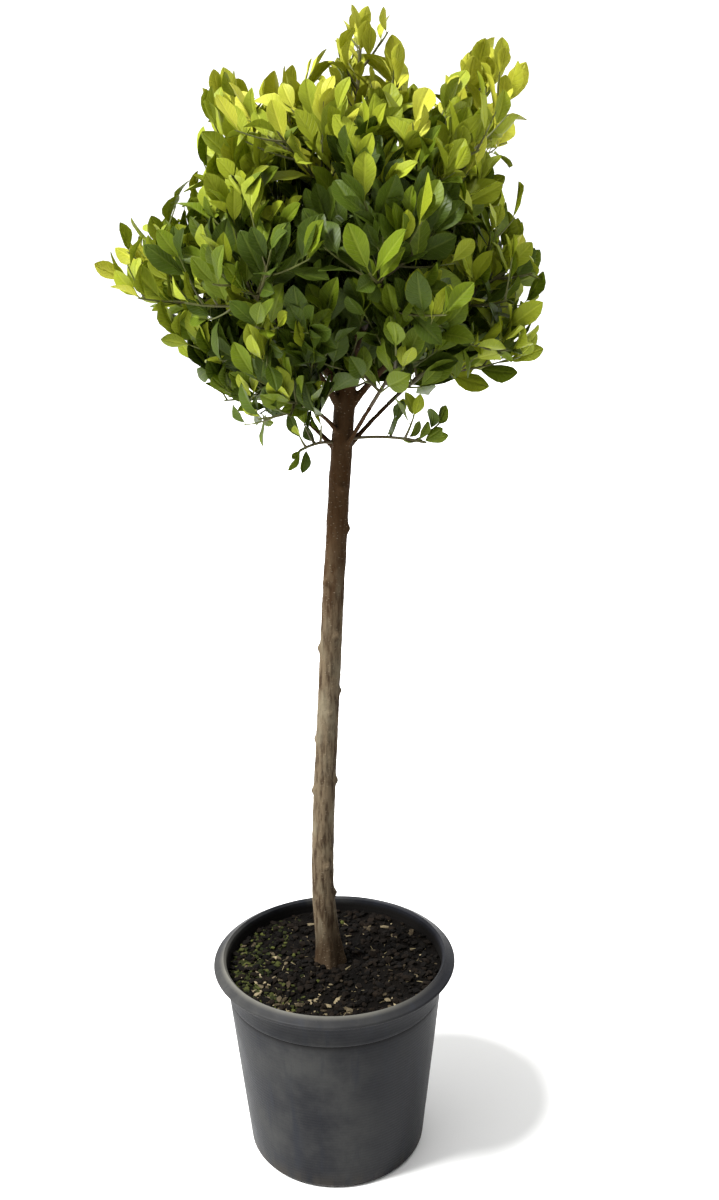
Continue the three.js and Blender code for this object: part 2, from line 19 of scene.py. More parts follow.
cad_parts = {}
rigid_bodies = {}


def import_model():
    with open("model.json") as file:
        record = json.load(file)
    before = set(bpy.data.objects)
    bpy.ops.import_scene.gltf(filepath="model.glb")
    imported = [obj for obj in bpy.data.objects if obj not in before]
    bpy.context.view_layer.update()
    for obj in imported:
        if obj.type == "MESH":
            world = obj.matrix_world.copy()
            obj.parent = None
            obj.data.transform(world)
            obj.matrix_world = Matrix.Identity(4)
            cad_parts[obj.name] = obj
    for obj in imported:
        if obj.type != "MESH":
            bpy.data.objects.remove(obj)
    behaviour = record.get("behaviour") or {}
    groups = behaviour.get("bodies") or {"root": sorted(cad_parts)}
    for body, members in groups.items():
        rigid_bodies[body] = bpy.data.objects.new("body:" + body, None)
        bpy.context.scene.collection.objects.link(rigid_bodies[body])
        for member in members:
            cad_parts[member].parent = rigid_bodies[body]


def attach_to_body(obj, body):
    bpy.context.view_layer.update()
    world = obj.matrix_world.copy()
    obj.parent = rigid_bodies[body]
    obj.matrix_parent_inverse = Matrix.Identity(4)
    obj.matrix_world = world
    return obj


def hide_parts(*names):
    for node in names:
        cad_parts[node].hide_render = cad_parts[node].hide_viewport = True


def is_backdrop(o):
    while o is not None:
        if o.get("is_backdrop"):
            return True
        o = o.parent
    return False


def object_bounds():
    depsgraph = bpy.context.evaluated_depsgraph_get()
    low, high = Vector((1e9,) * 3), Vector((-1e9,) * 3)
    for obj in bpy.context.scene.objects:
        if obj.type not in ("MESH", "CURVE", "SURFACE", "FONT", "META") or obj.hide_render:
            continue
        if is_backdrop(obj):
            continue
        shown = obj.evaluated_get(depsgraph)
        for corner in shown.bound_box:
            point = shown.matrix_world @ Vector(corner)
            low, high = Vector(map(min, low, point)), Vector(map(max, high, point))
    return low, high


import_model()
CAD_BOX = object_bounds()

logging.basicConfig(level=logging.INFO, format="%(name)s: %(message)s")
log = logging.getLogger("ficus")

Array = np.ndarray
Triple = tuple[float, float, float]
Colour = Triple
Grain = Triple
Span = tuple[float, float]
Faces = list[tuple[int, ...]]

BODY = "root"
SHADE = "shade"
LEAF_MAP = "leaf"
UP = np.array([0.0, 0.0, 1.0])
GOLDEN_ANGLE = math.pi * (3.0 - math.sqrt(5.0))
ANY_TURN = 6.28
EDGE_ARC = range(-90, 1, 15)
LIP_ARC = range(-60, 76, 15)
UPRIGHT = 0.9
PHOTO_FROM: Triple = (0.0365, -1.263, 1.016)
SEED = 7
WORD = 0xFFFFFFFF
WORD_STEP = 0x6D2B79F5


# Shader maths


class Signal:
    """One output of a shader node, with arithmetic that adds the nodes it needs."""

    def __init__(self, shader: "Shader", socket: bpy.types.NodeSocket) -> None:
        """Wrap a socket of a shader's tree."""
        self.shader = shader
        self.socket = socket

    def _math(self, operation: str, first: "Value", second: "Value" = 0.0) -> "Signal":
        """Add a Math node fed by two values."""
        return self.shader.node("ShaderNodeMath", {"operation": operation}, {0: first, 1: second})

    def __add__(self, other: "Value") -> "Signal":
        """Sum."""
        return self._math("ADD", self, other)

    def __radd__(self, other: "Value") -> "Signal":
        """Sum, from the right."""
        return self._math("ADD", other, self)

    def __sub__(self, other: "Value") -> "Signal":
        """Difference."""
        return self._math("SUBTRACT", self, other)

    def __rsub__(self, other: "Value") -> "Signal":
        """Difference, from the right."""
        return self._math("SUBTRACT", other, self)

    def __mul__(self, other: "Value") -> "Signal":
        """Product."""
        return self._math("MULTIPLY", self, other)

    def __rmul__(self, other: "Value") -> "Signal":
        """Product, from the right."""
        return self._math("MULTIPLY", other, self)

    def __abs__(self) -> "Signal":
        """Size without sign."""
        return self._math("ABSOLUTE", self)

    def sine(self) -> "Signal":
        """Sine of an angle in radians."""
        return self._math("SINE", self)

    def between(self, low: float, high: float) -> "Signal":
        """Step smoothly from one value to another.

        Args:
            low: Where the step is still 0.
            high: Where it has come to 1.

        Returns:
            The step.
        """
        settings = {"interpolation_type": "SMOOTHSTEP"}
        inputs = {"Value": self, "From Min": low, "From Max": high}
        return self.shader.node("ShaderNodeMapRange", settings, inputs)


Value = Union[Signal, float, Triple]


class Shader:
    """The node tree of one material: its Principled surface and the nodes that feed it."""

    def __init__(self, name: str) -> None:
        """Start a material with its plain Principled surface.

        Args:
            name: The material's name.
        """
        self.material = bpy.data.materials.new(name)
        self.material.use_nodes = True
        self.tree = self.material.node_tree
        self.surface = self.tree.nodes["Principled BSDF"]

    def feed(self, socket: bpy.types.NodeSocket, value: Value) -> None:
        """Link a signal to a socket, or set the socket to a constant.

        Args:
            socket: The input to feed.
            value: A signal, a number, a vector or a colour, which gets a full alpha.
        """
        if isinstance(value, Signal):
            self.tree.links.new(value.socket, socket)
        else:
            socket.default_value = (*value, 1.0) if socket.type == "RGBA" else value

    def node(
        self, kind: str, settings: dict | None = None, inputs: dict | None = None, output: int = 0
    ) -> Signal:
        """Add a node.

        Args:
            kind: The node's type.
            settings: Its properties, set before its sockets.
            inputs: Constants or signals by socket name or number.
            output: The number of the output to return.

        Returns:
            The chosen output.
        """
        node = self.tree.nodes.new(kind)
        for name, value in (settings or {}).items():
            setattr(node, name, value)
        for key, value in (inputs or {}).items():
            self.feed(node.inputs[key], value)
        return Signal(self, node.outputs[output])

    def coords(self) -> Signal:
        """Object coordinates, which are the frame's metres."""
        return self.node("ShaderNodeTexCoord", output=3)

    def shade(self) -> Signal:
        """The number from 0 to 1 that each bit, twig or leaf carries on its mesh."""
        return self.node("ShaderNodeAttribute", {"attribute_name": SHADE}, output=2)

    def axes(self, vector: Signal) -> list[Signal]:
        """The three parts of a vector."""
        first = self.node("ShaderNodeSeparateXYZ", None, {0: vector})
        return [Signal(self, socket) for socket in first.socket.node.outputs]

    def stretched(self, vector: Signal, scale: Triple) -> Signal:
        """A vector scaled along each axis."""
        return self.node("ShaderNodeVectorMath", {"operation": "MULTIPLY"}, {0: vector, 1: scale})

    def noise(self, vector: Signal, grain: Grain) -> Signal:
        """Cloudy noise from 0 to 1, by its scale, detail and roughness."""
        settings = dict(zip(("Scale", "Detail", "Roughness"), grain))
        return self.node("ShaderNodeTexNoise", None, {"Vector": vector, **settings})

    def cells(self, vector: Signal, scale: float) -> Signal:
        """Distance to the nearest of scattered points."""
        return self.node("ShaderNodeTexVoronoi", None, {"Vector": vector, "Scale": scale})

    def blend(self, factor: Value, first: Value, second: Value) -> Signal:
        """A colour between two others."""
        return self.node("ShaderNodeMix", {"data_type": "RGBA"}, {0: factor, 6: first, 7: second}, 2)

    def bump(self, height: Signal, distance: float) -> Signal:
        """A normal tilted by a height, times a distance in metres."""
        return self.node("ShaderNodeBump", None, {"Height": height, "Distance": distance})

    def cover(
        self, base: Value, roughness: Value, normal: Signal | None = None, specular: float = 0.5
    ) -> None:
        """Feed the surface.

        Args:
            base: Its base colour.
            roughness: Its roughness.
            normal: Its normal, where it has a relief.
            specular: The strength of its reflection.
        """
        self.feed(self.surface.inputs["Base Color"], base)
        self.feed(self.surface.inputs["Roughness"], roughness)
        self.feed(self.surface.inputs["Specular IOR Level"], specular)
        if normal is not None:
            self.feed(self.surface.inputs["Normal"], normal)


# Finishes, where a span is a mask's start and end, a cover its strength, and dulls the roughness it adds


@dataclass(frozen=True)
class Finish:
    """The look of one surface."""

    name: str

    def material(self) -> bpy.types.Material:
        """Make the finish into a material.

        Returns:
            The new material.
        """
        shader = Shader(self.name)
        self.paint(shader)
        return shader.material

    def paint(self, shader: Shader) -> None:
        """Lay the finish on a shader."""
        raise NotImplementedError


@dataclass(frozen=True)
class PotPlastic(Finish):
    """Charcoal plastic with a dust film that is left off its right side as painted shade, rubbed streaks, a
    painted highlight on the lip and painted shade inside.
    """

    name: str = "pot_plastic"
    body: Colour = (0.0075, 0.0080, 0.0105)
    cloud: Grain = (11.0, 5.0, 0.6)
    film: Colour = (0.046, 0.046, 0.044)
    film_span: Span = (0.36, 0.72)
    film_cover: float = 0.75
    film_dulls: float = 0.24
    # Painted shade: the dust film is left off the right side of the pot, so that side reads darker.
    right_shade_span: Span = (0.0, 0.075)
    right_shade_cover: float = 0.85
    rubbed: Colour = (0.010, 0.012, 0.018)
    streak: Grain = (75.0, 4.0, 0.5)
    streak_pull: Triple = (1.0, 1.0, 0.07)
    streak_height: float = 0.5
    rubbed_span: Span = (0.52, 0.74)
    rubbed_cover: float = 0.55
    # Painted highlight: the lip is pale only on the front-left of its inner top edge, the side toward the
    # key light.
    lip: Colour = (0.150, 0.144, 0.122)
    lip_highlight_span: Span = (0.2430, 0.2475)
    lip_highlight_cover: float = 0.35
    lip_highlight_cloud: float = 0.6
    lip_highlight_faint: float = 0.12
    highlight_crest_from: float = 0.1372
    highlight_crest_to: float = 0.1440
    lit_side_span: Span = (-0.14, 0.04)
    lit_side_turn: float = 0.45
    # Painted shade: the inside wall below the rim is painted darker for the shade it sits in.
    inside: Colour = (0.0035, 0.0030, 0.0026)
    inner_foot: float = 0.1084
    inner_slope: float = 0.1078
    inner_shade_edge: Span = (-0.0001, 0.0003)
    inner_shade_top: Span = (0.244, 0.252)
    inside_dulls: float = 0.30
    splash: Colour = (0.030, 0.025, 0.018)
    splash_top: float = 0.030
    splash_span: Span = (0.35, 0.65)
    splash_cover: float = 0.7
    grain: Grain = (900.0, 2.0, 0.5)
    grain_height: float = 0.35
    ridge_rate: float = 1500.0
    ridge_height: float = 0.06
    relief: float = 0.0005
    roughness: float = 0.44
    specular: float = 0.09

    def paint(self, shader: Shader) -> None:
        """Mix the dust film with its painted shade on the right, streaks, the lip's painted highlight,
        painted shade inside and splashes over the body colour.

        Args:
            shader: The material's own shader.
        """
        place = shader.coords()
        x, y, height = shader.axes(place)
        cloud = shader.noise(place, self.cloud)
        streak = shader.noise(shader.stretched(place, self.streak_pull), self.streak)
        grain = shader.noise(place, self.grain)
        # The film is real dust; leaving it off the right side is painted shade.
        film_outside_painted_shade = 1.0 - x.between(*self.right_shade_span) * self.right_shade_cover
        film = cloud.between(*self.film_span) * film_outside_painted_shade
        colour = shader.blend(film * self.film_cover, self.body, self.film)
        colour = shader.blend(streak.between(*self.rubbed_span) * self.rubbed_cover, colour, self.rubbed)
        # Painted highlight on the lip, masked to the front-left and to its inner top edge.
        front = 1.0 - (y + x * self.lit_side_turn).between(*self.lit_side_span)
        reach = x * x + y * y
        highlight_crest = 1.0 - reach.between(self.highlight_crest_from**2, self.highlight_crest_to**2)
        lip = height.between(*self.lip_highlight_span) * front * (self.lip_highlight_faint + (1.0 - self.lip_highlight_faint) * highlight_crest)
        colour = shader.blend(lip * (self.lip_highlight_cover + self.lip_highlight_cloud * cloud), colour, self.lip)
        # Painted shade on the inside wall, up to just below the rim.
        wall = height * self.inner_slope + self.inner_foot
        within = 1.0 - (reach - wall * wall).between(*self.inner_shade_edge)
        colour = shader.blend(within * (1.0 - height.between(*self.inner_shade_top)), colour, self.inside)
        low = 1.0 - height.between(0.0, self.splash_top)
        splash = low * streak.between(*self.splash_span)
        colour = shader.blend(splash * self.splash_cover, colour, self.splash)
        ridges = (height * self.ridge_rate).sine() * self.ridge_height
        relief = shader.bump(grain * self.grain_height + streak * self.streak_height + ridges, self.relief)
        roughness = self.roughness + self.film_dulls * film + self.inside_dulls * within
        shader.cover(colour, roughness, relief, self.specular)


@dataclass(frozen=True)
class SoilFinish(Finish):
    """Dark peaty soil, damp in places and flecked with fibre."""

    name: str = "potting_soil"
    damp: Colour = (0.0012, 0.0009, 0.0006)
    dry: Colour = (0.0028, 0.0020, 0.0013)
    patch: Grain = (26.0, 5.0, 0.65)
    patch_height: float = 0.5
    dry_span: Span = (0.35, 0.68)
    crumb: Grain = (240.0, 4.0, 0.65)
    crumb_span: Span = (0.45, 0.75)
    crumb_cover: float = 0.5
    crumb_dulls: float = 0.2
    fleck: Colour = (0.050, 0.038, 0.020)
    fleck_scale: float = 260.0
    fleck_span: Span = (0.10, 0.22)
    fibre_span: Span = (0.50, 0.62)
    relief: float = 0.0035
    roughness: float = 0.78
    specular: float = 0.06

    def paint(self, shader: Shader) -> None:
        """Mix damp, dry and flecks, with a crumbly relief.

        Args:
            shader: The material's own shader.
        """
        place = shader.coords()
        patch = shader.noise(place, self.patch)
        crumb = shader.noise(place, self.crumb)
        fleck = 1.0 - shader.cells(place, self.fleck_scale).between(*self.fleck_span)
        colour = shader.blend(patch.between(*self.dry_span), self.damp, self.dry)
        colour = shader.blend(crumb.between(*self.crumb_span) * self.crumb_cover, colour, self.dry)
        colour = shader.blend(fleck * crumb.between(*self.fibre_span), colour, self.fleck)
        relief = shader.bump(crumb + patch * self.patch_height, self.relief)
        shader.cover(colour, self.roughness + self.crumb_dulls * crumb, relief, self.specular)


@dataclass(frozen=True)
class Bark(Finish):
    """Thin rough bark: grey-brown on the clear stem, reddish under the crown, with corky dots."""

    name: str = "bark"
    deep: Colour = (0.036, 0.023, 0.013)
    plate: Colour = (0.112, 0.084, 0.052)
    fissure: Grain = (210.0, 5.0, 0.62)
    fissure_pull: Triple = (1.0, 1.0, 0.16)
    plate_span: Span = (0.36, 0.58)
    grey: Colour = (0.156, 0.132, 0.088)
    patch: Grain = (55.0, 4.0, 0.5)
    patch_pull: Triple = (1.0, 1.0, 0.5)
    grey_span: Span = (0.46, 0.70)
    grey_cover: float = 0.75
    red: Colour = (0.034, 0.0145, 0.0035)
    red_span: Span = (0.60, 0.82)
    red_cover: float = 0.90
    foot: Colour = (0.030, 0.017, 0.008)
    foot_span: Span = (0.245, 0.330)
    foot_cover: float = 0.6
    foot_patch: float = 0.4
    dot: Colour = (0.200, 0.160, 0.110)
    dot_pull: Triple = (1.0, 1.0, 2.2)
    dot_scale: float = 170.0
    dot_span: Span = (0.12, 0.26)
    dot_cover: float = 0.7
    dot_height: float = 0.4
    fine: Grain = (900.0, 3.0, 0.6)
    fine_span: Span = (0.40, 0.60)
    fine_height: float = 0.35
    fine_dulls: float = 0.22
    relief: float = 0.0010
    roughness: float = 0.70
    specular: float = 0.07

    def paint(self, shader: Shader) -> None:
        """Mix fissures, plates, weathered grey, the red head, the damp foot and corky dots.

        Args:
            shader: The material's own shader.
        """
        place = shader.coords()
        height = shader.axes(place)[2]
        fissure = shader.noise(shader.stretched(place, self.fissure_pull), self.fissure)
        patch = shader.noise(shader.stretched(place, self.patch_pull), self.patch)
        fine = shader.noise(place, self.fine)
        dots = shader.cells(shader.stretched(place, self.dot_pull), self.dot_scale)
        dot = 1.0 - dots.between(*self.dot_span)
        colour = shader.blend(fissure.between(*self.plate_span), self.deep, self.plate)
        colour = shader.blend(patch.between(*self.grey_span) * self.grey_cover, colour, self.grey)
        colour = shader.blend(height.between(*self.red_span) * self.red_cover, colour, self.red)
        damp = 1.0 - height.between(*self.foot_span)
        colour = shader.blend(damp * (self.foot_cover + self.foot_patch * patch), colour, self.foot)
        colour = shader.blend(dot * fine.between(*self.fine_span) * self.dot_cover, colour, self.dot)
        relief = shader.bump(fissure + fine * self.fine_height + dot * self.dot_height, self.relief)
        shader.cover(colour, self.roughness + self.fine_dulls * fine, relief, self.specular)


@dataclass(frozen=True)
class TwigBark(Finish):
    """Young wood, brown with green showing through."""

    name: str = "twig_bark"
    brown: Colour = (0.060, 0.040, 0.020)
    green: Colour = (0.095, 0.110, 0.020)
    green_span: Span = (0.35, 1.05)
    patch: Grain = (120.0, 3.0, 0.5)
    patch_greens: float = 0.5
    patch_dulls: float = 0.2
    dot: Colour = (0.180, 0.150, 0.080)
    dot_scale: float = 420.0
    dot_span: Span = (0.08, 0.20)
    dot_cover: float = 0.6
    dot_height: float = 0.4
    relief: float = 0.0006
    roughness: float = 0.55
    specular: float = 0.35

    def paint(self, shader: Shader) -> None:
        """Mix green into brown by the wood's age, with pale dots.

        Args:
            shader: The material's own shader.
        """
        place = shader.coords()
        youth = shader.shade()
        patch = shader.noise(place, self.patch)
        dot = 1.0 - shader.cells(place, self.dot_scale).between(*self.dot_span)
        green = (youth + self.patch_greens * patch).between(*self.green_span)
        colour = shader.blend(green, self.brown, self.green)
        colour = shader.blend(dot * self.dot_cover, colour, self.dot)
        relief = shader.bump(patch + dot * self.dot_height, self.relief)
        shader.cover(colour, self.roughness + self.patch_dulls * patch, relief, self.specular)


@dataclass(frozen=True)
class LeafSide(Finish):
    """One side of a leaf: the leaf's own shade, blotches, a midrib and faint side veins."""

    low: Colour
    high: Colour
    vein: Colour
    blotch: Grain = (85.0, 3.0, 0.5)
    blotch_height: float = 0.3
    blotch_dulls: float = 0.16
    midrib_span: Span = (0.03, 0.13)
    midrib_cover: float = 0.42
    vein_slant: float = 0.20
    vein_rate: float = 62.0
    vein_span: Span = (0.80, 1.0)
    vein_cover: float = 0.22
    vein_height: float = 0.35
    relief: float = 0.0007
    roughness: float = 0.40
    specular: float = 0.10

    def _map(self, shader: Shader) -> tuple[Signal, Signal]:
        """How far a place lies from the midrib, and how far along from stalk to tip."""
        across, along, _ = shader.axes(shader.node("ShaderNodeUVMap", {"uv_map": LEAF_MAP}))
        return abs(across - 0.5) * 2.0, along

    def _veins(self, side: Signal, along: Signal) -> Signal:
        """Slanting lines from the midrib to the margin."""
        return ((along - side * self.vein_slant) * self.vein_rate).sine().between(*self.vein_span)


@dataclass(frozen=True)
class LeafFace(LeafSide):
    """A leaf's glossy upper side, with a pale stalk and margin."""

    blotch_span: Span = (0.40, 0.75)
    blotch_cover: float = 0.45
    vein_starts: Span = (0.04, 0.20)
    margin_span: Span = (0.84, 1.0)
    margin_cover: float = 0.25
    stalk_span: Span = (0.12, 0.18)
    stalk_cover: float = 0.7
    trough: Span = (0.0, 0.3)

    def paint(self, shader: Shader) -> None:
        """Mix the leaf's own shade, blotches, veins, margin, midrib and stalk.

        Args:
            shader: The material's own shader.
        """
        place = shader.coords()
        side, along = self._map(shader)
        blotch = shader.noise(place, self.blotch)
        midrib = 1.0 - side.between(*self.midrib_span)
        veins = self._veins(side, along) * side.between(*self.vein_starts)
        stalk = 1.0 - along.between(*self.stalk_span)
        colour = shader.blend(shader.shade(), self.low, self.high)
        colour = shader.blend(blotch.between(*self.blotch_span) * self.blotch_cover, colour, self.high)
        colour = shader.blend(veins * self.vein_cover, colour, self.vein)
        colour = shader.blend(side.between(*self.margin_span) * self.margin_cover, colour, self.vein)
        colour = shader.blend(midrib * self.midrib_cover, colour, self.vein)
        colour = shader.blend(stalk * self.stalk_cover, colour, self.vein)
        height = side.between(*self.trough) - veins * self.vein_height + blotch * self.blotch_height
        roughness = self.roughness + self.blotch_dulls * blotch
        shader.cover(colour, roughness, shader.bump(height, self.relief), self.specular)


@dataclass(frozen=True)
class LeafBack(LeafSide):
    """A leaf's dull underside, paler and greyer, with a raised midrib."""

    blotch: Grain = (110.0, 3.0, 0.5)
    blotch_dulls: float = 0.2
    midrib_span: Span = (0.04, 0.16)
    midrib_cover: float = 0.75
    vein_span: Span = (0.75, 1.0)
    vein_cover: float = 0.3
    vein_height: float = 0.4
    roughness: float = 0.55
    specular: float = 0.35
    shade_cover: float = 0.7
    blotch_cover: float = 0.3

    def paint(self, shader: Shader) -> None:
        """Mix the leaf's own shade with its veins and midrib.

        Args:
            shader: The material's own shader.
        """
        place = shader.coords()
        side, along = self._map(shader)
        blotch = shader.noise(place, self.blotch)
        midrib = 1.0 - side.between(*self.midrib_span)
        veins = self._veins(side, along)
        shade = self.shade_cover * shader.shade() + self.blotch_cover * blotch
        colour = shader.blend(shade, self.low, self.high)
        colour = shader.blend(veins * self.vein_cover, colour, self.vein)
        colour = shader.blend(midrib * self.midrib_cover, colour, self.vein)
        height = midrib + veins * self.vein_height + blotch * self.blotch_height
        roughness = self.roughness + self.blotch_dulls * blotch
        shader.cover(colour, roughness, shader.bump(height, self.relief), self.specular)


@dataclass(frozen=True)
class Fleck(Finish):
    """Loose litter on the soil, each bit in a shade of its own."""

    low: Colour
    high: Colour
    grain: Grain = (520.0, 3.0, 0.5)
    grain_middle: float = 0.35
    grain_cover: float = 0.35
    grain_dulls: float = 0.2
    shade_cover: float = 0.75
    relief: float = 0.0012
    roughness: float = 0.72
    specular: float = 0.08

    def paint(self, shader: Shader) -> None:
        """Mix two colours by the bit's own shade and a fine grain.

        Args:
            shader: The material's own shader.
        """
        grain = shader.noise(shader.coords(), self.grain)
        shade = self.shade_cover * shader.shade() + self.grain_cover * (grain - self.grain_middle)
        colour = shader.blend(shade, self.low, self.high)
        roughness = self.roughness + self.grain_dulls * grain
        shader.cover(colour, roughness, shader.bump(grain, self.relief), self.specular)


class Tone(Enum):
    """Lit and shaded copies of the leaf colour, painted by light: from the newest sprays in painted full
    light to old ones in painted deep shade.
    """

    YOUNG = "young"
    BRIGHT = "bright"
    GREEN = "green"
    DEEP = "deep"


# Painted light and shade: lighter, yellower copies of the leaf colour where lit, darker ones where shaded.
LEAF_FACES: dict[Tone, LeafFace] = {
    Tone.YOUNG: LeafFace(
        "leaf_young", (0.300, 0.325, 0.022), (0.410, 0.410, 0.036), (0.56, 0.54, 0.07), roughness=0.40
    ),
    Tone.BRIGHT: LeafFace(
        "leaf_bright", (0.165, 0.205, 0.012), (0.270, 0.310, 0.018), (0.36, 0.39, 0.04), roughness=0.38
    ),
    Tone.GREEN: LeafFace(
        "leaf_painted_half_shade", (0.064, 0.096, 0.004), (0.118, 0.162, 0.007), (0.20, 0.24, 0.03), roughness=0.36
    ),
    Tone.DEEP: LeafFace(
        "leaf_painted_deep_shade", (0.028, 0.046, 0.004), (0.054, 0.084, 0.006), (0.10, 0.13, 0.02), roughness=0.34
    ),
}
LEAF_BACKS: dict[Tone, LeafBack] = {
    Tone.YOUNG: LeafBack(
        "leaf_young_and_painted_lit_back", (0.280, 0.290, 0.030), (0.370, 0.365, 0.045), (0.45, 0.44, 0.10)
    ),
    Tone.BRIGHT: LeafBack(
        "leaf_painted_lit_back", (0.165, 0.190, 0.024), (0.230, 0.245, 0.036), (0.32, 0.33, 0.08)
    ),
    Tone.GREEN: LeafBack(
        "leaf_painted_half_shade_back", (0.090, 0.112, 0.018), (0.140, 0.160, 0.028), (0.21, 0.23, 0.06)
    ),
    Tone.DEEP: LeafBack(
        "leaf_painted_deep_shade_back", (0.048, 0.064, 0.014), (0.085, 0.100, 0.022), (0.13, 0.15, 0.04)
    ),
}


# Modelling helpers


def deselect() -> None:
    """Leave edit mode and drop the selection."""
    if bpy.context.mode != "OBJECT":
        bpy.ops.object.mode_set(mode="OBJECT")
    bpy.ops.object.select_all(action="DESELECT")


def choose(piece: bpy.types.Object) -> None:
    """Make a piece the only selected one and the active one.

    Args:
        piece: The piece to work on.
    """
    deselect()
    piece.select_set(True)
    bpy.context.view_layer.objects.active = piece


def apply_modifier(piece: bpy.types.Object, kind: str, **settings: object) -> None:
    """Add a modifier to a piece and apply it.

    Args:
        piece: The piece to change.
        kind: The modifier's type.
        **settings: Its properties.
    """
    choose(piece)
    modifier = piece.modifiers.new(kind.lower(), kind)
    for name, value in settings.items():
        setattr(modifier, name, value)
    bpy.ops.object.modifier_apply(modifier=modifier.name)


def smooth(piece: bpy.types.Object, degrees: float) -> None:
    """Shade a piece smooth, with edges sharper than an angle kept."""
    choose(piece)
    bpy.ops.object.shade_smooth_by_angle(angle=math.radians(degrees))


def disc(name: str, sides: int, radius: float, z: float) -> bpy.types.Object:
    """Start a piece as a level disc round the middle, and leave it in edit mode.

    Args:
        name: The piece's name.
        sides: Corners of its edge.
        radius: The radius of its edge.
        z: Its height.

    Returns:
        The new piece.
    """
    deselect()
    bpy.ops.mesh.primitive_circle_add(vertices=sides, radius=radius, fill_type="NGON", location=(0, 0, z))
    piece = bpy.context.object
    piece.name = name
    bpy.ops.object.transform_apply(location=True, rotation=False, scale=False)
    bpy.ops.object.mode_set(mode="EDIT")
    return piece


def draw_out(line: Sequence[Span]) -> None:
    """Extrude the open rim of the mesh in edit mode along a profile, close it and turn its faces outwards.

    Args:
        line: Radii and heights, of which the first are the rim's own.
    """
    bpy.ops.mesh.select_all(action="DESELECT")
    bpy.ops.mesh.select_mode(type="EDGE")
    bpy.ops.mesh.select_non_manifold()
    for (radius, z), (next_radius, next_z) in zip(line, line[1:]):
        bpy.ops.mesh.extrude_edges_move(TRANSFORM_OT_translate={"value": (0, 0, next_z - z)})
        scale = next_radius / radius
        bpy.ops.transform.resize(value=(scale, scale, 1), center_override=(0, 0, 0))
    bpy.ops.mesh.edge_face_add()
    bpy.ops.mesh.select_all(action="SELECT")
    bpy.ops.mesh.normals_make_consistent(inside=False)
    bpy.ops.object.mode_set(mode="OBJECT")


def from_arrays(name: str, vertices: Array, faces: Faces, shade: Array) -> bpy.types.Object:
    """A mesh piece from arrays.

    Args:
        name: The piece's name.
        vertices: Places as rows of three.
        faces: Vertex numbers of each face, counter-clockwise from outside.
        shade: A number from 0 to 1 for each vertex, which finishes read.

    Returns:
        The new piece, linked to the scene.
    """
    mesh = bpy.data.meshes.new(name)
    mesh.from_pydata(vertices.tolist(), [], faces)
    mesh.attributes.new(SHADE, "FLOAT", "POINT").data.foreach_set("value", shade.astype(np.float32))
    piece = bpy.data.objects.new(name, mesh)
    bpy.context.collection.objects.link(piece)
    return piece


def adopt(piece: bpy.types.Object, slot: str, nodes: Sequence[str], *finishes: Finish) -> None:
    """Give a finished piece its materials and its place in the frame.

    Args:
        piece: The finished piece.
        slot: The name of a record's material slot; not used.
        nodes: The part's nodes that it stands in for.
        *finishes: Its finishes, in the order of its faces' material numbers.
    """
    piece.data.materials.clear()
    for finish in finishes:
        piece.data.materials.append(finish.material())
    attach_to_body(piece, BODY)
    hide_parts(*nodes)
    log.info("%s: %d faces", piece.name, len(piece.data.polygons))


def rough(point: Sequence[float], scale: float, octaves: int) -> float:
    """Smooth noise from about -1 to 1.

    Args:
        point: The place to look at.
        scale: Lumps to the metre, about.
        octaves: How many layers are summed, each finer and fainter than the one before.

    Returns:
        The noise there.
    """
    finer, fainter = 2.1, 0.5
    total, weight = 0.0, 1.0
    for _ in range(octaves):
        total += weight * noise.noise(Vector((point[0] * scale, point[1] * scale, point[2] * scale)))
        weight, scale = weight * fainter, scale * finer
    return total


# Growth, by the part's rule


class Stream:
    """A repeatable stream of numbers from 0 to 1, the same one that the part's source draws."""

    def __init__(self, seed: int) -> None:
        """Start the stream at a seed."""
        self.state = seed & WORD

    def __call__(self) -> float:
        """Draw the next number.

        Returns:
            A number from 0 to 1.
        """
        self.state = (self.state + WORD_STEP) & WORD
        bits = ((self.state ^ (self.state >> 15)) * (self.state | 1)) & WORD
        bits ^= (bits + (((bits ^ (bits >> 7)) * (bits | 61)) & WORD)) & WORD
        return ((bits ^ (bits >> 14)) & WORD) / (WORD + 1.0)

    def spread(self, centre: float, width: float) -> float:
        """A number within half a width of a centre."""
        return centre + width * (self() - 0.5)


def mix(first: float, second: float, share: float) -> float:
    """The number at a share of the way between two."""
    return first + (second - first) * share


def unit(vector: Array) -> Array:
    """A vector brought to length one."""
    return vector / np.linalg.norm(vector)


def heading(azimuth: float, elevation: float) -> Array:
    """Unit vector at an azimuth and an elevation in degrees."""
    turn, rise = math.radians(azimuth), math.radians(elevation)
    return np.array([math.cos(turn) * math.cos(rise), math.sin(turn) * math.cos(rise), math.sin(rise)])


def square_to(tangent: Array, reference: Array) -> tuple[Array, Array]:
    """Two unit vectors square to a tangent and to each other, the first leaning to a reference."""
    side = unit(reference - tangent * reference.dot(tangent))
    return side, np.cross(tangent, side)


def steady(tangent: Array) -> Array:
    """A reference that isn't close to parallel with a tangent."""
    return UP if abs(tangent[2]) < UPRIGHT else np.array([1.0, 0.0, 0.0])


def stations(root: Array, tip: Array, shares: Sequence[float]) -> Array:
    """Places at some shares of the way between two points."""
    return np.array([root + (tip - root) * share for share in shares])


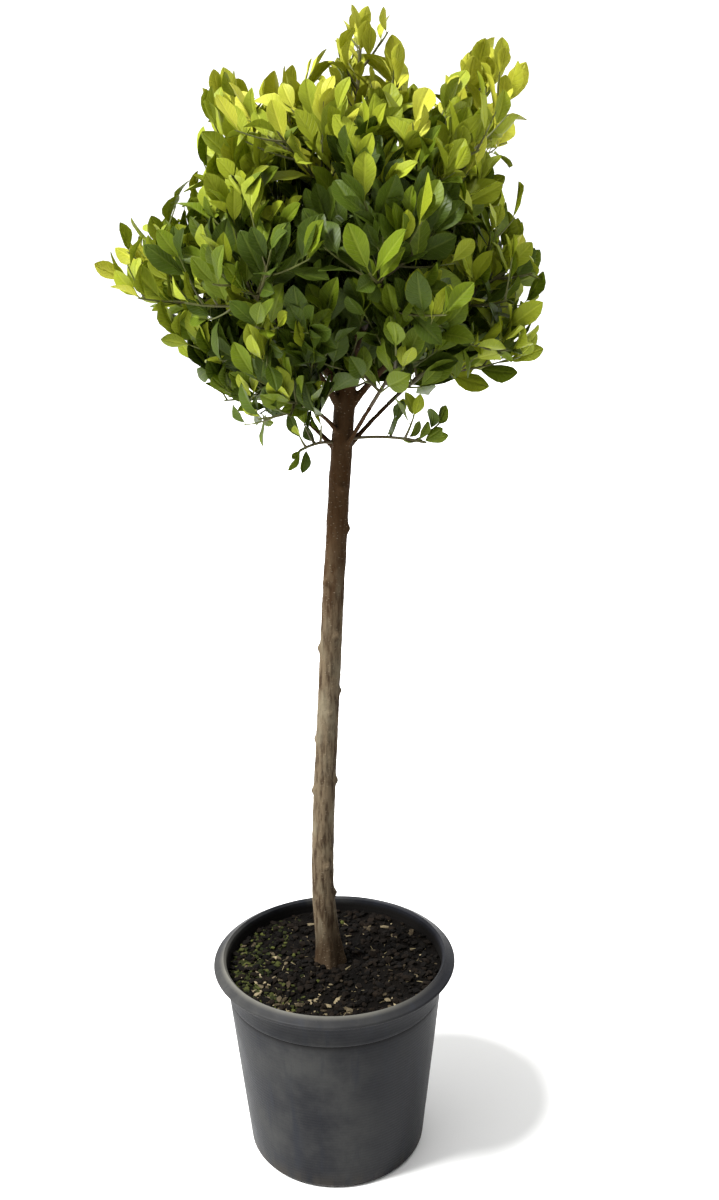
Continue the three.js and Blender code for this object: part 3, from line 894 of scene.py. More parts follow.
@dataclass
class TrunkLine:
    """The trunk's drift, as sideways places and heights, and its radius from root flare to tip."""

    drift: tuple[Span, ...] = (
        (-0.005, 0.2413),
        (-0.0125, 0.345),
        (-0.0015, 0.585),
        (0.014, 0.822),
        (0.023, 0.934),
        (0.031, 1.035),
    )
    foot_radius: float = 0.018
    low_radius: float = 0.014
    head_radius: float = 0.012
    tip_radius: float = 0.0095
    flare_height: float = 0.026
    flare_lobes: int = 4
    flare_relief: float = 0.14
    head_height: float = 0.934
    samples: int = 81
    table: Array = field(init=False)

    def __post_init__(self) -> None:
        """Sample the line once."""
        self.table = np.concatenate([self._stretch(i) for i in range(len(self.drift) - 1)])

    def _stretch(self, index: int) -> Array:
        """A stretch of the line, by a centripetal spline.

        Args:
            index: The number of the drift's point that it starts from.

        Returns:
            Sampled rows of sideways drift and height.
        """
        points = np.array(self.drift)
        padded = np.vstack([2 * points[0] - points[1], points, 2 * points[-1] - points[-2]])
        p0, p1, p2, p3 = padded[index : index + 4]
        d0, d1, d2 = (np.linalg.norm(b - a) ** 0.5 for a, b in ((p0, p1), (p1, p2), (p2, p3)))
        m1 = ((p1 - p0) / d0 - (p2 - p0) / (d0 + d1) + (p2 - p1) / d1) * d1
        m2 = ((p2 - p1) / d1 - (p3 - p1) / (d1 + d2) + (p3 - p2) / d2) * d1
        t = np.linspace(0.0, 1.0, self.samples)[:, None]
        cubic = (2 * p1 - 2 * p2 + m1 + m2) * t**3 + (-3 * p1 + 3 * p2 - 2 * m1 - m2) * t**2
        return cubic + m1 * t + p1

    @property
    def foot(self) -> float:
        """Height of the trunk's cut at the soil."""
        return self.drift[0][1]

    @property
    def tip(self) -> float:
        """Height of the trunk's tip."""
        return self.drift[-1][1]

    def centre(self, z: float) -> Array:
        """The middle of the trunk at a height."""
        return np.array([np.interp(z, self.table[:, 1], self.table[:, 0]), 0.0, z])

    def radius(self, z: float) -> float:
        """The trunk's radius at a height.

        Args:
            z: The height, no lower than the trunk's foot.

        Returns:
            The radius.
        """
        if z < self.head_height:
            flare = (self.foot_radius - self.low_radius) * math.exp(-(z - self.foot) / self.flare_height)
            share = (z - self.foot) / (self.head_height - self.foot)
            return flare + mix(self.low_radius, self.head_radius, share)
        share = (z - self.head_height) / (self.tip - self.head_height)
        return mix(self.head_radius, self.tip_radius, share)


@dataclass(frozen=True)
class Ring:
    """A ring of limbs round the trunk's head, with angles in degrees."""

    name: str
    count: int
    phase: float
    elevation: float
    sway: float
    attach: float
    stagger: float
    rise: float
    radius: float


@dataclass(frozen=True)
class Sprig:
    """A small side shoot from the trunk below the crown, with angles in degrees."""

    name: str
    attach: float
    azimuth: float
    length: float
    rise: float
    twig_length: float
    leaf_scale: float
    radius: float = 0.0018
    droop: float = 0.002
    twigs: int = 3
    twig_lift: float = 1.2
    bare_share: float = 0.5


@dataclass(frozen=True)
class Lobe:
    """A swelling of the crown's outline, with its angle and angular width in degrees."""

    at: float
    rise: float
    width: float

    def swell(self, turn: Array) -> Array:
        """How much the lobe adds to the outline at some angles."""
        aside = (turn - self.at + 180.0) % 360.0 - 180.0
        return self.rise * np.exp(-((aside / self.width) ** 2))


@dataclass(eq=False)
class Limb:
    """A curve from the trunk to the far tip of its mass: a bough up to the split, then a leafy stem."""

    name: str
    azimuth: float
    start: Array
    bend: Array
    tip: Array
    radius: float
    split: float
    twigs: int = 8
    twig_lengths: Span = (0.122, 0.066)
    twig_lift: float = 0.22
    leaf_scale: float = 1.0
    bare_share: float = 0.08
    in_head: bool = True
    seed: int = 0
    tip_radius: float = 0.0016
    heart_share: float = 0.6

    def point(self, t: float) -> Array:
        """The place at a share of the curve."""
        return (1 - t) ** 2 * self.start + 2 * (1 - t) * t * self.bend + t**2 * self.tip

    def tangent(self, t: float) -> Array:
        """The direction at a share of the curve."""
        return unit((1 - t) * (self.bend - self.start) + t * (self.tip - self.bend))

    def radius_at(self, t: float) -> float:
        """The wood's radius at a share of the curve."""
        return mix(self.radius, self.tip_radius, t)

    @property
    def heart(self) -> Array:
        """The middle of the limb's mass."""
        return self.point(mix(self.split, 1.0, self.heart_share))

    @property
    def side(self) -> Array:
        """The level direction square to the limb."""
        return heading(self.azimuth + 90.0, 0.0)


class Rank(Enum):
    """The order of a shoot."""

    STEM = 0
    TWIG = 1
    SPUR = 2


@dataclass
class Shoot:
    """A leafy stretch of wood."""

    points: Array
    radii: Array
    bare: float
    rank: Rank
    seed: int
    limb: Limb
    parent: "Shoot | None" = None
    root_at: float = 0.0
    slack: float = 1.0
    used: float = 0.0

    def use(self, distance: float) -> None:
        """Note that the shoot bears something, and so do those that it grows on.

        Args:
            distance: How far from its foot it bears it.
        """
        self.used = max(self.used, distance)
        if self.parent is not None:
            self.parent.use(self.root_at)

    def trimmed(self) -> tuple[Array, Array]:
        """Cut the shoot behind the last thing that it bears.

        Returns:
            The points and radii that are left.
        """
        shares = np.linspace(0.0, self.used, len(self.points))
        travelled = self.travelled
        points = np.stack([np.interp(shares, travelled, self.points[:, k]) for k in range(3)], axis=-1)
        return points, np.interp(shares, travelled, self.radii)

    @property
    def travelled(self) -> Array:
        """Distance from the foot at each point."""
        steps = np.linalg.norm(np.diff(self.points, axis=0), axis=1)
        return np.concatenate([[0.0], np.cumsum(steps)])

    @property
    def length(self) -> float:
        """The whole length."""
        return float(self.travelled[-1])

    def at(self, distance: float) -> tuple[Array, Array]:
        """Look up a place on the shoot.

        Args:
            distance: How far it lies from the foot.

        Returns:
            The place, and the wood's direction there.
        """
        travelled = self.travelled
        place = np.array([np.interp(distance, travelled, self.points[:, k]) for k in range(3)])
        index = min(max(int(np.searchsorted(travelled, distance)), 1), len(self.points) - 1)
        return place, unit(self.points[index] - self.points[index - 1])


@dataclass(frozen=True)
class Branching:
    """How side shoots stand on their wood, with angles in degrees and each play a spread's full width."""

    foot: float
    tip: float
    place_play: float
    turn_play: float
    spread: Span
    spread_play: float
    length_play: float
    sag: float
    trims: tuple[float, ...]
    probes: tuple[float, ...]

    def line(self, root: Array, tip: Array, points: int = 6) -> tuple[Array, Array]:
        """A side shoot's wood, which sags a little and turns up at its end.

        Args:
            root: Where it starts.
            tip: Where it ends.
            points: How many places to give.

        Returns:
            Places along it, and its radius at each.
        """
        shares = np.linspace(0.0, 1.0, points)
        dip = np.linalg.norm(tip - root) * self.sag
        places = np.array([root + (tip - root) * s - UP * dip * math.sin(math.pi * s) for s in shares])
        return places, np.linspace(self.foot, self.tip, points)


@dataclass(frozen=True)
class LeafRule:
    """How leaves stand on a shoot, with angles in degrees and each play a spread's full width."""

    length: float = 0.0455
    length_play: float = 0.50
    tip_scale: float = 0.84
    spacing: float = 0.0097
    crowding: float = 0.0072
    middle: float = 0.55
    probes: Triple = (0.35, 0.7, 1.0)
    stem_tuft: int = 8
    side_tuft: int = 3
    turn: float = 2 * math.pi / 3
    turn_play: float = 0.7
    lean: Span = (64.0, 46.0)
    tip_lean: float = 24.0
    lean_play: float = 26.0
    lift: float = 0.62
    hang: float = 0.40
    hang_below: float = -0.20
    skyward: float = 0.8
    side_play: float = 2.2
    face_play: float = 1.8
    fold: Span = (0.34, 0.30)
    curl: Span = (0.10, 0.32)
    sunk: float = 0.0002


@dataclass(frozen=True)
class PaintedLight:
    """Painted light: the light a spray would get by its place in the crown, and the lit or shaded leaf
    colour painted from it.
    """

    sun: Triple = (0.06, 0.10, 1.0)
    upper: float = 1.32
    under: float = 0.20
    flank: float = 0.60
    flank_from: float = 0.52
    skin: float = 0.50
    skin_from: float = 0.72
    on_stem: float = 0.30
    on_side: float = -0.02
    spray_play: float = 0.60
    at_tip: float = 0.30
    leaf_play: float = 0.40
    least: tuple[tuple[Tone, float], ...] = ((Tone.YOUNG, 0.94), (Tone.BRIGHT, 0.30), (Tone.GREEN, 0.02))

    def falling_on(self, out: Array, depth: float) -> float:
        """The light at a place.

        Args:
            out: The place from the crown's centre, in half depths of the crown.
            depth: How far out it lies, with 1 on the crown's outline.

        Returns:
            The light, which is about 1 in full sun.
        """
        # Painted light: lighter towards the top, the left and right sides and the outside of the crown,
        # darker below.
        rise = float(out.dot(unit(np.array(self.sun))))
        above, below = max(rise, 0.0), min(rise, 0.0)
        flank = self.flank * (abs(float(out[0])) - self.flank_from) * (1.0 - above)
        return self.upper * above + self.under * below + flank + self.skin * (depth - self.skin_from)

    def tone(self, light: float) -> Tone:
        """The leaf colour, painted lit or shaded by the light that it gets."""
        return next((tone for tone, least in self.least if light > least), Tone.DEEP)


@dataclass
class Leaf:
    """One leaf: its root, its direction, its face, its size and its looks."""

    root: Array
    along: Array
    face: Array
    size: float
    fold: float
    curl: float
    tone: Tone
    shade: float


@dataclass
class Crown:
    """The head of the plant: limbs round the trunk, twigs on them, finer spurs on those, and the leaves."""

    trunk: TrunkLine
    centre: Array = field(default_factory=lambda: np.array([0.027, 0.0, 1.096]))
    eye: Array = field(default_factory=lambda: np.array(PHOTO_FROM))
    outline_radius: float = 0.185
    lobes: tuple[Lobe, ...] = (
        Lobe(25.0, 0.035, 18.0),
        Lobe(50.0, 0.078, 10.0),
        Lobe(85.0, 0.065, 10.0),
        Lobe(131.0, 0.050, 9.0),
        Lobe(182.0, 0.078, 14.0),
        Lobe(214.0, 0.045, 20.0),
        Lobe(246.0, 0.075, 11.0),
        Lobe(272.0, -0.025, 12.0),
        Lobe(338.0, 0.055, 20.0),
    )
    half_depth: float = 0.210
    tuft: float = 0.030
    overhang: float = 0.044
    halvings: int = 40
    clearance: float = 0.0003
    space_margin: float = 0.0025
    limb_clearance: float = 0.003
    limb_beads: int = 17
    trunk_beads: int = 60
    bough_share: float = 0.46
    bow_share: float = 0.46
    rings: tuple[Ring, ...] = (
        Ring("upper", 6, 18.0, 50.0, 20.0, 0.968, 0.022, 66.0, 0.0048),
        Ring("middle", 6, -12.0, -10.0, -6.0, 0.918, 0.024, 52.0, 0.0043),
        Ring("lower", 5, 20.0, -40.0, 16.0, 0.872, 0.018, 48.0, 0.0032),
    )
    leader_azimuth: float = 0.0
    leader_elevation: float = 85.0
    leader_radius: float = 0.0046
    leader_leaves: float = 0.68
    sprigs: tuple[Sprig, ...] = (
        Sprig("sprig_right", 0.890, -8.0, 0.090, 10.0, 0.027, 0.66),
        Sprig("sprig_left", 0.884, 208.0, 0.050, 24.0, 0.022, 0.62),
    )
    limb_seeds: int = 100
    stem_seed: int = 50
    twig_seed: int = 60
    spur_seed: int = 31
    spur_leaf_seed: int = 37
    stem_points: int = 10
    stem_slack: float = 1.03
    twig: Branching = Branching(
        foot=0.0018,
        tip=0.0010,
        place_play=0.6,
        turn_play=0.8,
        spread=(72.0, 44.0),
        spread_play=16.0,
        length_play=0.3,
        sag=0.05,
        trims=tuple(1 - trim / 6 for trim in range(5)),
        probes=tuple(np.linspace(0.1, 1.0, 28)),
    )
    twig_last: float = 0.97
    twig_slack: float = 1.0
    spur: Branching = Branching(
        foot=0.0012,
        tip=0.0007,
        place_play=0.5,
        turn_play=ANY_TURN,
        spread=(50.0, 50.0),
        spread_play=24.0,
        length_play=0.4,
        sag=0.04,
        trims=(1.0, 0.75, 0.5),
        probes=(0.5, 1.0),
    )
    spur_lengths: Span = (0.062, 0.034)
    spur_spacing: float = 0.0145
    spur_lift: float = 0.22
    spur_bare: float = 0.010
    spur_slack: float = 0.94
    looseness: float = 0.20
    leaf: LeafRule = LeafRule()
    leaf_slack: float = 0.03
    hollow: float = 0.20
    hollow_play: float = 0.20
    painted_light: PaintedLight = PaintedLight()
    limbs: list[Limb] = field(init=False)
    beads: Array = field(init=False)

    def __post_init__(self) -> None:
        """Grow the limbs, and note what twigs and leaves keep clear of."""
        self.limbs = [limb for ring in self.rings for limb in self._ring(ring)]
        self.limbs += [self._leader(), *(self._sprig(sprig) for sprig in self.sprigs)]
        for index, limb in enumerate(self.limbs):
            limb.seed = SEED + self.limb_seeds * index
        self.beads = np.array([*self._along_limbs(), *self._along_trunk()])

    @property
    def boughs(self) -> list[str]:
        """The part's nodes of bare wood past the trunk."""
        return [f"bough_{limb.name}" for limb in self.limbs if limb.split > 0]

    @property
    def masses(self) -> list[str]:
        """The part's nodes of leafy twigs."""
        return [f"leaves_{limb.name}" for limb in self.limbs]

    def _tip(self, azimuth: float, elevation: float) -> Array:
        """The end of a stem whose last leaf reaches the crown's outline, found by halving.

        Args:
            azimuth: Its direction from the crown's centre, in degrees.
            elevation: Its height angle from there, in degrees.

        Returns:
            The stem's tip.
        """
        way = heading(azimuth, elevation)
        near, far = 0.0, 2.0 * self.outline_radius
        for _ in range(self.halvings):
            middle = (near + far) / 2
            inside = self.depth((self.centre + way * middle)[None])[0] < 1.0
            near, far = (middle, far) if inside else (near, middle)
        return self.centre + way * (near - self.overhang)

    def _ring(self, ring: Ring) -> Iterator[Limb]:
        """Grow the limbs of a ring, every second one set higher and at another elevation.

        Args:
            ring: The ring.

        Yields:
            Its limbs in turn.
        """
        for i in range(ring.count):
            azimuth = ring.phase + 360.0 * i / ring.count
            start = self.trunk.centre(ring.attach + (i % 2) * ring.stagger)
            tip = self._tip(azimuth, ring.elevation - (i % 2) * ring.sway)
            bow = np.linalg.norm(tip - start) * self.bow_share
            bend = start + heading(azimuth, ring.rise) * bow
            yield Limb(f"{ring.name}_{i + 1}", azimuth, start, bend, tip, ring.radius, self.bough_share)

    def _leader(self) -> Limb:
        """The limb that goes straight on from the trunk's tip.

        Returns:
            The limb, which is leafy from its foot.
        """
        start = self.trunk.centre(self.trunk.tip) + UP * self.clearance
        tip = self._tip(self.leader_azimuth, self.leader_elevation)
        bend = start + UP * np.linalg.norm(tip - start) * self.bow_share
        line = (self.leader_azimuth, start, bend, tip, self.leader_radius, 0.0)
        return Limb("leader", *line, leaf_scale=self.leader_leaves)

    def _sprig(self, sprig: Sprig) -> Limb:
        """A small limb from the bare trunk.

        Args:
            sprig: Its sizes.

        Returns:
            The limb, which keeps to no outline.
        """
        start = self.trunk.centre(sprig.attach)
        tip = start + heading(sprig.azimuth, 0.0) * sprig.length - UP * sprig.droop
        bend = start + heading(sprig.azimuth, sprig.rise) * sprig.length / 2
        line = (sprig.azimuth, start, bend, tip, sprig.radius, 0.0)
        return Limb(
            sprig.name,
            *line,
            twigs=sprig.twigs,
            twig_lengths=(sprig.twig_length, sprig.twig_length),
            twig_lift=sprig.twig_lift,
            leaf_scale=sprig.leaf_scale,
            bare_share=sprig.bare_share,
            in_head=False,
        )

    def _along_limbs(self) -> Iterator[tuple[float, ...]]:
        """Mark the limbs.

        Yields:
            Places and radii along them, with the number of the limb on its stem, and -1 on its bough.
        """
        for index, limb in enumerate(self.limbs):
            stretches = [(-1, 0.0, limb.split)] if limb.split > 0 else []
            for number, low, high in [*stretches, (index, limb.split, 1.0)]:
                for t in np.linspace(low, high, self.limb_beads):
                    yield (*limb.point(t), limb.radius_at(t), number)

    def _along_trunk(self) -> Iterator[tuple[float, ...]]:
        """Places and radii along the trunk, each with -1."""
        for z in np.linspace(self.trunk.foot, self.trunk.tip, self.trunk_beads):
            yield (*self.trunk.centre(z), self.trunk.radius(z), -1)

    def depth(self, points: Array) -> Array:
        """How far out points lie, as the crown's outline shows from the eye.

        Args:
            points: Places as rows of three.

        Returns:
            A number for each: 0 at the crown's centre and 1 on its outline.
        """
        away = points[:, 1] - self.eye[1]
        seen = self.eye + (points - self.eye) * (-self.eye[1] / away)[:, None]
        out = seen - self.centre
        turn = np.degrees(np.arctan2(out[:, 2], out[:, 0]))
        reach = self.outline_radius + sum(lobe.swell(turn) for lobe in self.lobes)
        return np.sqrt((out[:, 0] ** 2 + out[:, 2] ** 2) / reach**2 + (points[:, 1] / self.half_depth) ** 2)

    def clear(self, limb: Limb, points: Array) -> bool:
        """Whether points keep off the trunk, the boughs and the other limbs' stems.

        Args:
            limb: The limb that they belong to.
            points: Places as rows of three.

        Returns:
            True where all of them do.
        """
        beads = self.beads[self.beads[:, 4] != self.limbs.index(limb)]
        away = np.linalg.norm(points[:, None] - beads[None, :, :3], axis=2) - beads[:, 3]
        return bool((away > self.limb_clearance).all())

    def in_crown(self, limb: Limb, points: Array, slack: float = 1.0) -> bool:
        """Whether points lie in the crown's outline or the tuft at a limb's tip, scaled by a slack."""
        tufted = np.linalg.norm(points - limb.tip, axis=1) < self.tuft * slack
        return not limb.in_head or bool((tufted | (self.depth(points) < slack)).all())

    def free(self, limb: Limb, points: Array, slack: float = 1.0) -> bool:
        """Whether points lie in the crown and are clear of the wood that they keep off."""
        return self.in_crown(limb, points, slack) and self.clear(limb, points)

    def in_space(self, limb: Limb, points: Array) -> bool:
        """Whether points lie in a limb's own space: nearest to its heart, clear of wood, and in the crown.

        Args:
            limb: The limb that they belong to.
            points: Places as rows of three.

        Returns:
            True where all of them do.
        """
        mine = np.linalg.norm(points - limb.heart, axis=1)
        others = np.array([other.heart for other in self.limbs if other is not limb])
        nearest = np.linalg.norm(points[:, None] - others[None], axis=2).min(axis=1)
        own = bool((nearest > mine + self.space_margin).all())
        return own and self.free(limb, points)

    def stem(self, limb: Limb) -> Shoot:
        """The leafy stretch of a limb past its bough.

        Args:
            limb: The limb.

        Returns:
            Its stem.
        """
        shares = np.linspace(limb.split, 1.0, self.stem_points)
        points = np.array([limb.point(t) for t in shares])
        radii = np.array([limb.radius_at(t) for t in shares])
        bare = max(self.leaf.spacing, limb.bare_share * np.linalg.norm(limb.tip - limb.start))
        seed = limb.seed + self.stem_seed
        return Shoot(points, radii, bare, Rank.STEM, seed, limb, slack=self.stem_slack)

    @staticmethod
    def _side_way(
        rule: Branching, random: Stream, order: int, share: float, axes: Sequence[Array]
    ) -> Array:
        """The direction of a side shoot, at the golden angle from the one before it.

        Args:
            rule: How such shoots stand.
            random: The shoot's own stream.
            order: Its number along the wood.
            share: How far along the wood it stands.
            axes: The wood's direction, two directions square to it, and the shoot's lift.

        Returns:
            A unit vector.
        """
        tangent, side, normal, lift = axes
        turn = order * GOLDEN_ANGLE + rule.turn_play * random()
        spread = math.radians(random.spread(mix(*rule.spread, share), rule.spread_play))
        out = side * math.cos(turn) + normal * math.sin(turn)
        return unit(tangent * math.cos(spread) + out * math.sin(spread) + lift)

    @staticmethod
    def _fitting_tip(
        rule: Branching, root: Array, reach: Array, fits: Callable[[Array], bool]
    ) -> Array | None:
        """The tip of a side shoot, trimmed until the places along it fit, or None where no trim does."""
        tips = (root + reach * trim for trim in rule.trims)
        return next((tip for tip in tips if fits(stations(root, tip, rule.probes))), None)

    def side_twigs(self, limb: Limb, stem: Shoot) -> Iterator[Shoot]:
        """Grow the twigs on a limb's stem, each trimmed to its mass's space.

        Args:
            limb: The limb.
            stem: Its stem.

        Yields:
            The twigs that fit.
        """
        rule, leafy_from = self.twig, mix(limb.split, 1.0, limb.bare_share)
        for i in range(limb.twigs):
            random = Stream(limb.seed + i)
            share = (i + random.spread(0.5, rule.place_play)) / limb.twigs
            t = mix(leafy_from, self.twig_last, share)
            root, tangent = limb.point(t), limb.tangent(t)
            axes = (tangent, *square_to(tangent, limb.side), UP * limb.twig_lift)
            way = self._side_way(rule, random, i, share, axes)
            length = mix(*limb.twig_lengths, share) * random.spread(1.0, rule.length_play)
            tip = self._fitting_tip(rule, root, way * length, partial(self.in_space, limb))
            if tip is not None:
                nearest = int(np.linalg.norm(stem.points - root, axis=1).argmin())
                at = float(stem.travelled[min(nearest + 1, len(stem.points) - 1)])
                slack = random.spread(self.twig_slack, self.looseness)
                wood, seed = rule.line(root, tip), limb.seed + self.twig_seed + i
                yield Shoot(*wood, self.leaf.spacing, Rank.TWIG, seed, limb, stem, at, slack)

    def spurs(self, shoot: Shoot) -> Iterator[Shoot]:
        """Grow the finer twigs on a shoot, within the crown.

        Args:
            shoot: The stem or twig that bears them.

        Yields:
            The spurs that fit.
        """
        rule, limb = self.spur, shoot.limb
        count = int((shoot.length - shoot.bare) / self.spur_spacing)
        for i in range(count):
            random = Stream(shoot.seed * self.spur_seed + i)
            share = (i + random.spread(0.5, rule.place_play)) / count
            at = mix(shoot.bare, shoot.length, share)
            root, tangent = shoot.at(at)
            axes = (tangent, *square_to(tangent, steady(tangent)), UP * self.spur_lift)
            way = self._side_way(rule, random, i, share, axes)
            length = mix(*self.spur_lengths, share) * random.spread(1.0, rule.length_play) * limb.leaf_scale
            slack = random.spread(self.spur_slack, self.looseness)
            fits = partial(self.free, limb, slack=slack)
            tip = self._fitting_tip(rule, root, way * length, fits)
            if tip is not None:
                wood, seed = rule.line(root, tip), shoot.seed * self.spur_leaf_seed + i
                slack += self.leaf_slack
                yield Shoot(*wood, self.spur_bare, Rank.SPUR, seed, limb, shoot, at, slack)

    def shoots(self) -> list[Shoot]:
        """Grow all the leafy wood of the crown.

        Returns:
            Each limb's stem and twigs, and then their spurs.
        """
        shoots: list[Shoot] = []
        for limb in self.limbs:
            stem = self.stem(limb)
            main = [stem, *self.side_twigs(limb, stem)]
            shoots += main
            if limb.in_head:
                shoots += [spur for shoot in main for spur in self.spurs(shoot)]
        return shoots

    def leaves(self, shoots: list[Shoot]) -> list[Leaf]:
        """Set leaves along every shoot, with a tuft of small ones at its tip, none too close to another.

        Args:
            shoots: The leafy wood, which notes what it bears.

        Returns:
            The leaves.
        """
        leaves: list[Leaf] = []
        middles = np.zeros((0, 3))
        for shoot in shoots:
            for leaf, distance in self._shoot_leaves(shoot):
                middle = leaf.root + leaf.along * leaf.size * self.leaf.middle
                if len(middles) and np.linalg.norm(middles - middle, axis=1).min() < self.leaf.crowding:
                    continue
                middles = np.vstack([middles, middle])
                leaves.append(leaf)
                shoot.use(distance)
        return leaves

    def _shoot_leaves(self, shoot: Shoot) -> list[tuple[Leaf, float]]:
        """Set the leaves of one shoot.

        Args:
            shoot: The shoot.

        Returns:
            Those that fit the crown, with their distances from the shoot's foot.
        """
        random, sun = Stream(shoot.seed), self.painted_light
        on_stem = shoot.rank is Rank.STEM
        tip = shoot.points[-1]
        # Painted light: the spray's colour copy follows the light its tip would get in the crown.
        light = sun.falling_on((tip - self.centre) / self.half_depth, float(self.depth(tip[None])[0]))
        light += random.spread(sun.on_stem if on_stem else sun.on_side, sun.spray_play)
        count = max(int((shoot.length - shoot.bare) / self.leaf.spacing), 1)
        leaves = []
        for order in range(count + (self.leaf.stem_tuft if on_stem else self.leaf.side_tuft)):
            share = (order + 0.5) / count if order < count else 1.0
            distance = mix(shoot.bare, shoot.length, share)
            leaf = self._leaf(shoot, distance, order, share, light, random)
            reach = stations(leaf.root, leaf.root + leaf.along * leaf.size, self.leaf.probes)
            thin = shoot.limb.in_head and self.depth(reach)[1] < self.hollow + self.hollow_play * random()
            if not thin and self.free(shoot.limb, reach, shoot.slack):
                leaves.append((leaf, distance))
        return leaves

    def _leaf(
        self, shoot: Shoot, distance: float, order: int, share: float, light: float, random: Stream
    ) -> Leaf:
        """A leaf in its place: it leans out from its shoot, and turns its face up and outward.

        Args:
            shoot: The wood that it grows on.
            distance: How far its root is from the wood's foot.
            order: Its number along the shoot, which turns it round the wood.
            share: How far along the shoot it stands, with 1 in the tuft at the end.
            light: The painted light that the spray gets.
            random: The shoot's own stream.

        Returns:
            The leaf.
        """
        rule, at_tip = self.leaf, share == 1.0
        point, way = shoot.at(distance)
        side, normal = square_to(way, steady(way))
        turn = (order + 0.5) * rule.turn + random.spread(0.0, rule.turn_play)
        lean = rule.tip_lean if at_tip else mix(*rule.lean, share)
        lean = math.radians(random.spread(lean, rule.lean_play))
        around = side * math.cos(turn) + normal * math.sin(turn)
        lift = rule.lift if way[2] > rule.hang_below else -rule.hang
        along = unit(way * math.cos(lean) + around * math.sin(lean) + UP * lift)
        sky = unit(point - self.centre) + UP * rule.skyward + around * random.spread(0.0, rule.side_play)
        face, _ = square_to(along, sky + normal * random.spread(0.0, rule.face_play))
        scale = random.spread(rule.tip_scale if at_tip else 1.0, rule.length_play)
        size = rule.length * shoot.limb.leaf_scale * scale
        # Painted light: tuft leaves at a tip get more, and each leaf's lit or shaded colour copy is picked
        # from it.
        light += self.painted_light.at_tip if at_tip else 0.0
        tone = self.painted_light.tone(light + random.spread(0.0, self.painted_light.leaf_play))
        fold, curl = random.spread(*rule.fold), random.spread(*rule.curl)
        return Leaf(point - along * rule.sunk, along, face, size, fold, curl, tone, random())


# Pieces


@dataclass
class Pot:
    """A tapered plastic tub with a turned-out lip and a stacking step below it."""

    height: float = 0.255
    rim_radius: float = 0.150
    lip_width: float = 0.0125
    lip_drop: float = 0.011
    lip_slope: float = 0.0062
    lip_root: float = 0.002
    base_radius: float = 0.110
    edge_radius: float = 0.007
    wall: float = 0.0025
    floor: float = 0.003
    step_below_rim: float = 0.042
    step_depth: float = 0.0014
    step_height: float = 0.003
    step_round: float = 0.0012
    fillet: float = 0.003
    plain_from: float = 0.020
    plain_gap: float = 0.012
    plain_rows: int = 8
    inner_rows: Span = (0.12, 0.03)
    foot_recess: float = 0.002
    foot_width: float = 0.016
    foot_slope: float = 0.004
    sides: int = 128
    crease: float = 38.0
    finish: PotPlastic = PotPlastic()

    def wall_radius(self, z: float) -> float:
        """The outside of the wall at a height."""
        return mix(self.base_radius, self.rim_radius - self.lip_width, z / self.height)

    def _wall(self, z: float, out: float = 0.0) -> Span:
        """A point on the wall's outside, or some way out or in from it."""
        return self.wall_radius(z) + out, z

    @staticmethod
    def _arc(x: float, z: float, radius: float, degrees: float) -> Span:
        """A point on a round edge."""
        angle = math.radians(degrees)
        return x + radius * math.cos(angle), z + radius * math.sin(angle)

    def profile(self) -> list[Span]:
        """Draw the wall's section.

        Returns:
            Radii and heights up the outside, over the lip and down the inside.
        """
        top = self.height - self.step_below_rim
        foot = top - self.step_height
        under = self.height - self.lip_drop
        bead = (self.lip_drop - self.lip_slope) / 2
        lip = self.rim_radius - bead
        edge = self.wall_radius(self.edge_radius) - self.edge_radius
        inner = self.wall_radius(self.height) - self.wall
        plain = np.linspace(self.plain_from, foot - self.plain_gap, self.plain_rows)
        return [
            *(self._arc(edge, self.edge_radius, self.edge_radius, a) for a in EDGE_ARC),
            *(self._wall(z) for z in plain),
            self._wall(foot, -self.step_depth),
            (self.wall_radius(foot), foot + self.step_round),
            self._wall(top, self.step_round / 2),
            self._wall(top + self.fillet),
            self._wall(under - self.fillet),
            self._wall(under, self.lip_root),
            (lip, under),
            *(self._arc(lip, under + bead, bead, a) for a in LIP_ARC),
            (inner + self.fillet, self.height),
            (inner, self.height - self.fillet),
            *(self._wall(z, -self.wall) for z in (top, top - self.plain_from, *self.inner_rows)),
            self._wall(self.floor, -self.wall - self.edge_radius / 2),
        ]

    def build(self) -> None:
        """Recess the base, and draw the wall up from it, over the lip and down to the floor inside."""
        line = self.profile()
        pot = disc("nursery_pot", self.sides, *line[0])
        bpy.ops.mesh.inset(thickness=self.foot_width, depth=0.0)
        bpy.ops.mesh.inset(thickness=self.foot_slope, depth=0.0)
        bpy.ops.transform.translate(value=(0, 0, self.foot_recess))
        draw_out(line)
        smooth(pot, self.crease)
        adopt(pot, "pot_plastic", ["pot"], self.finish)


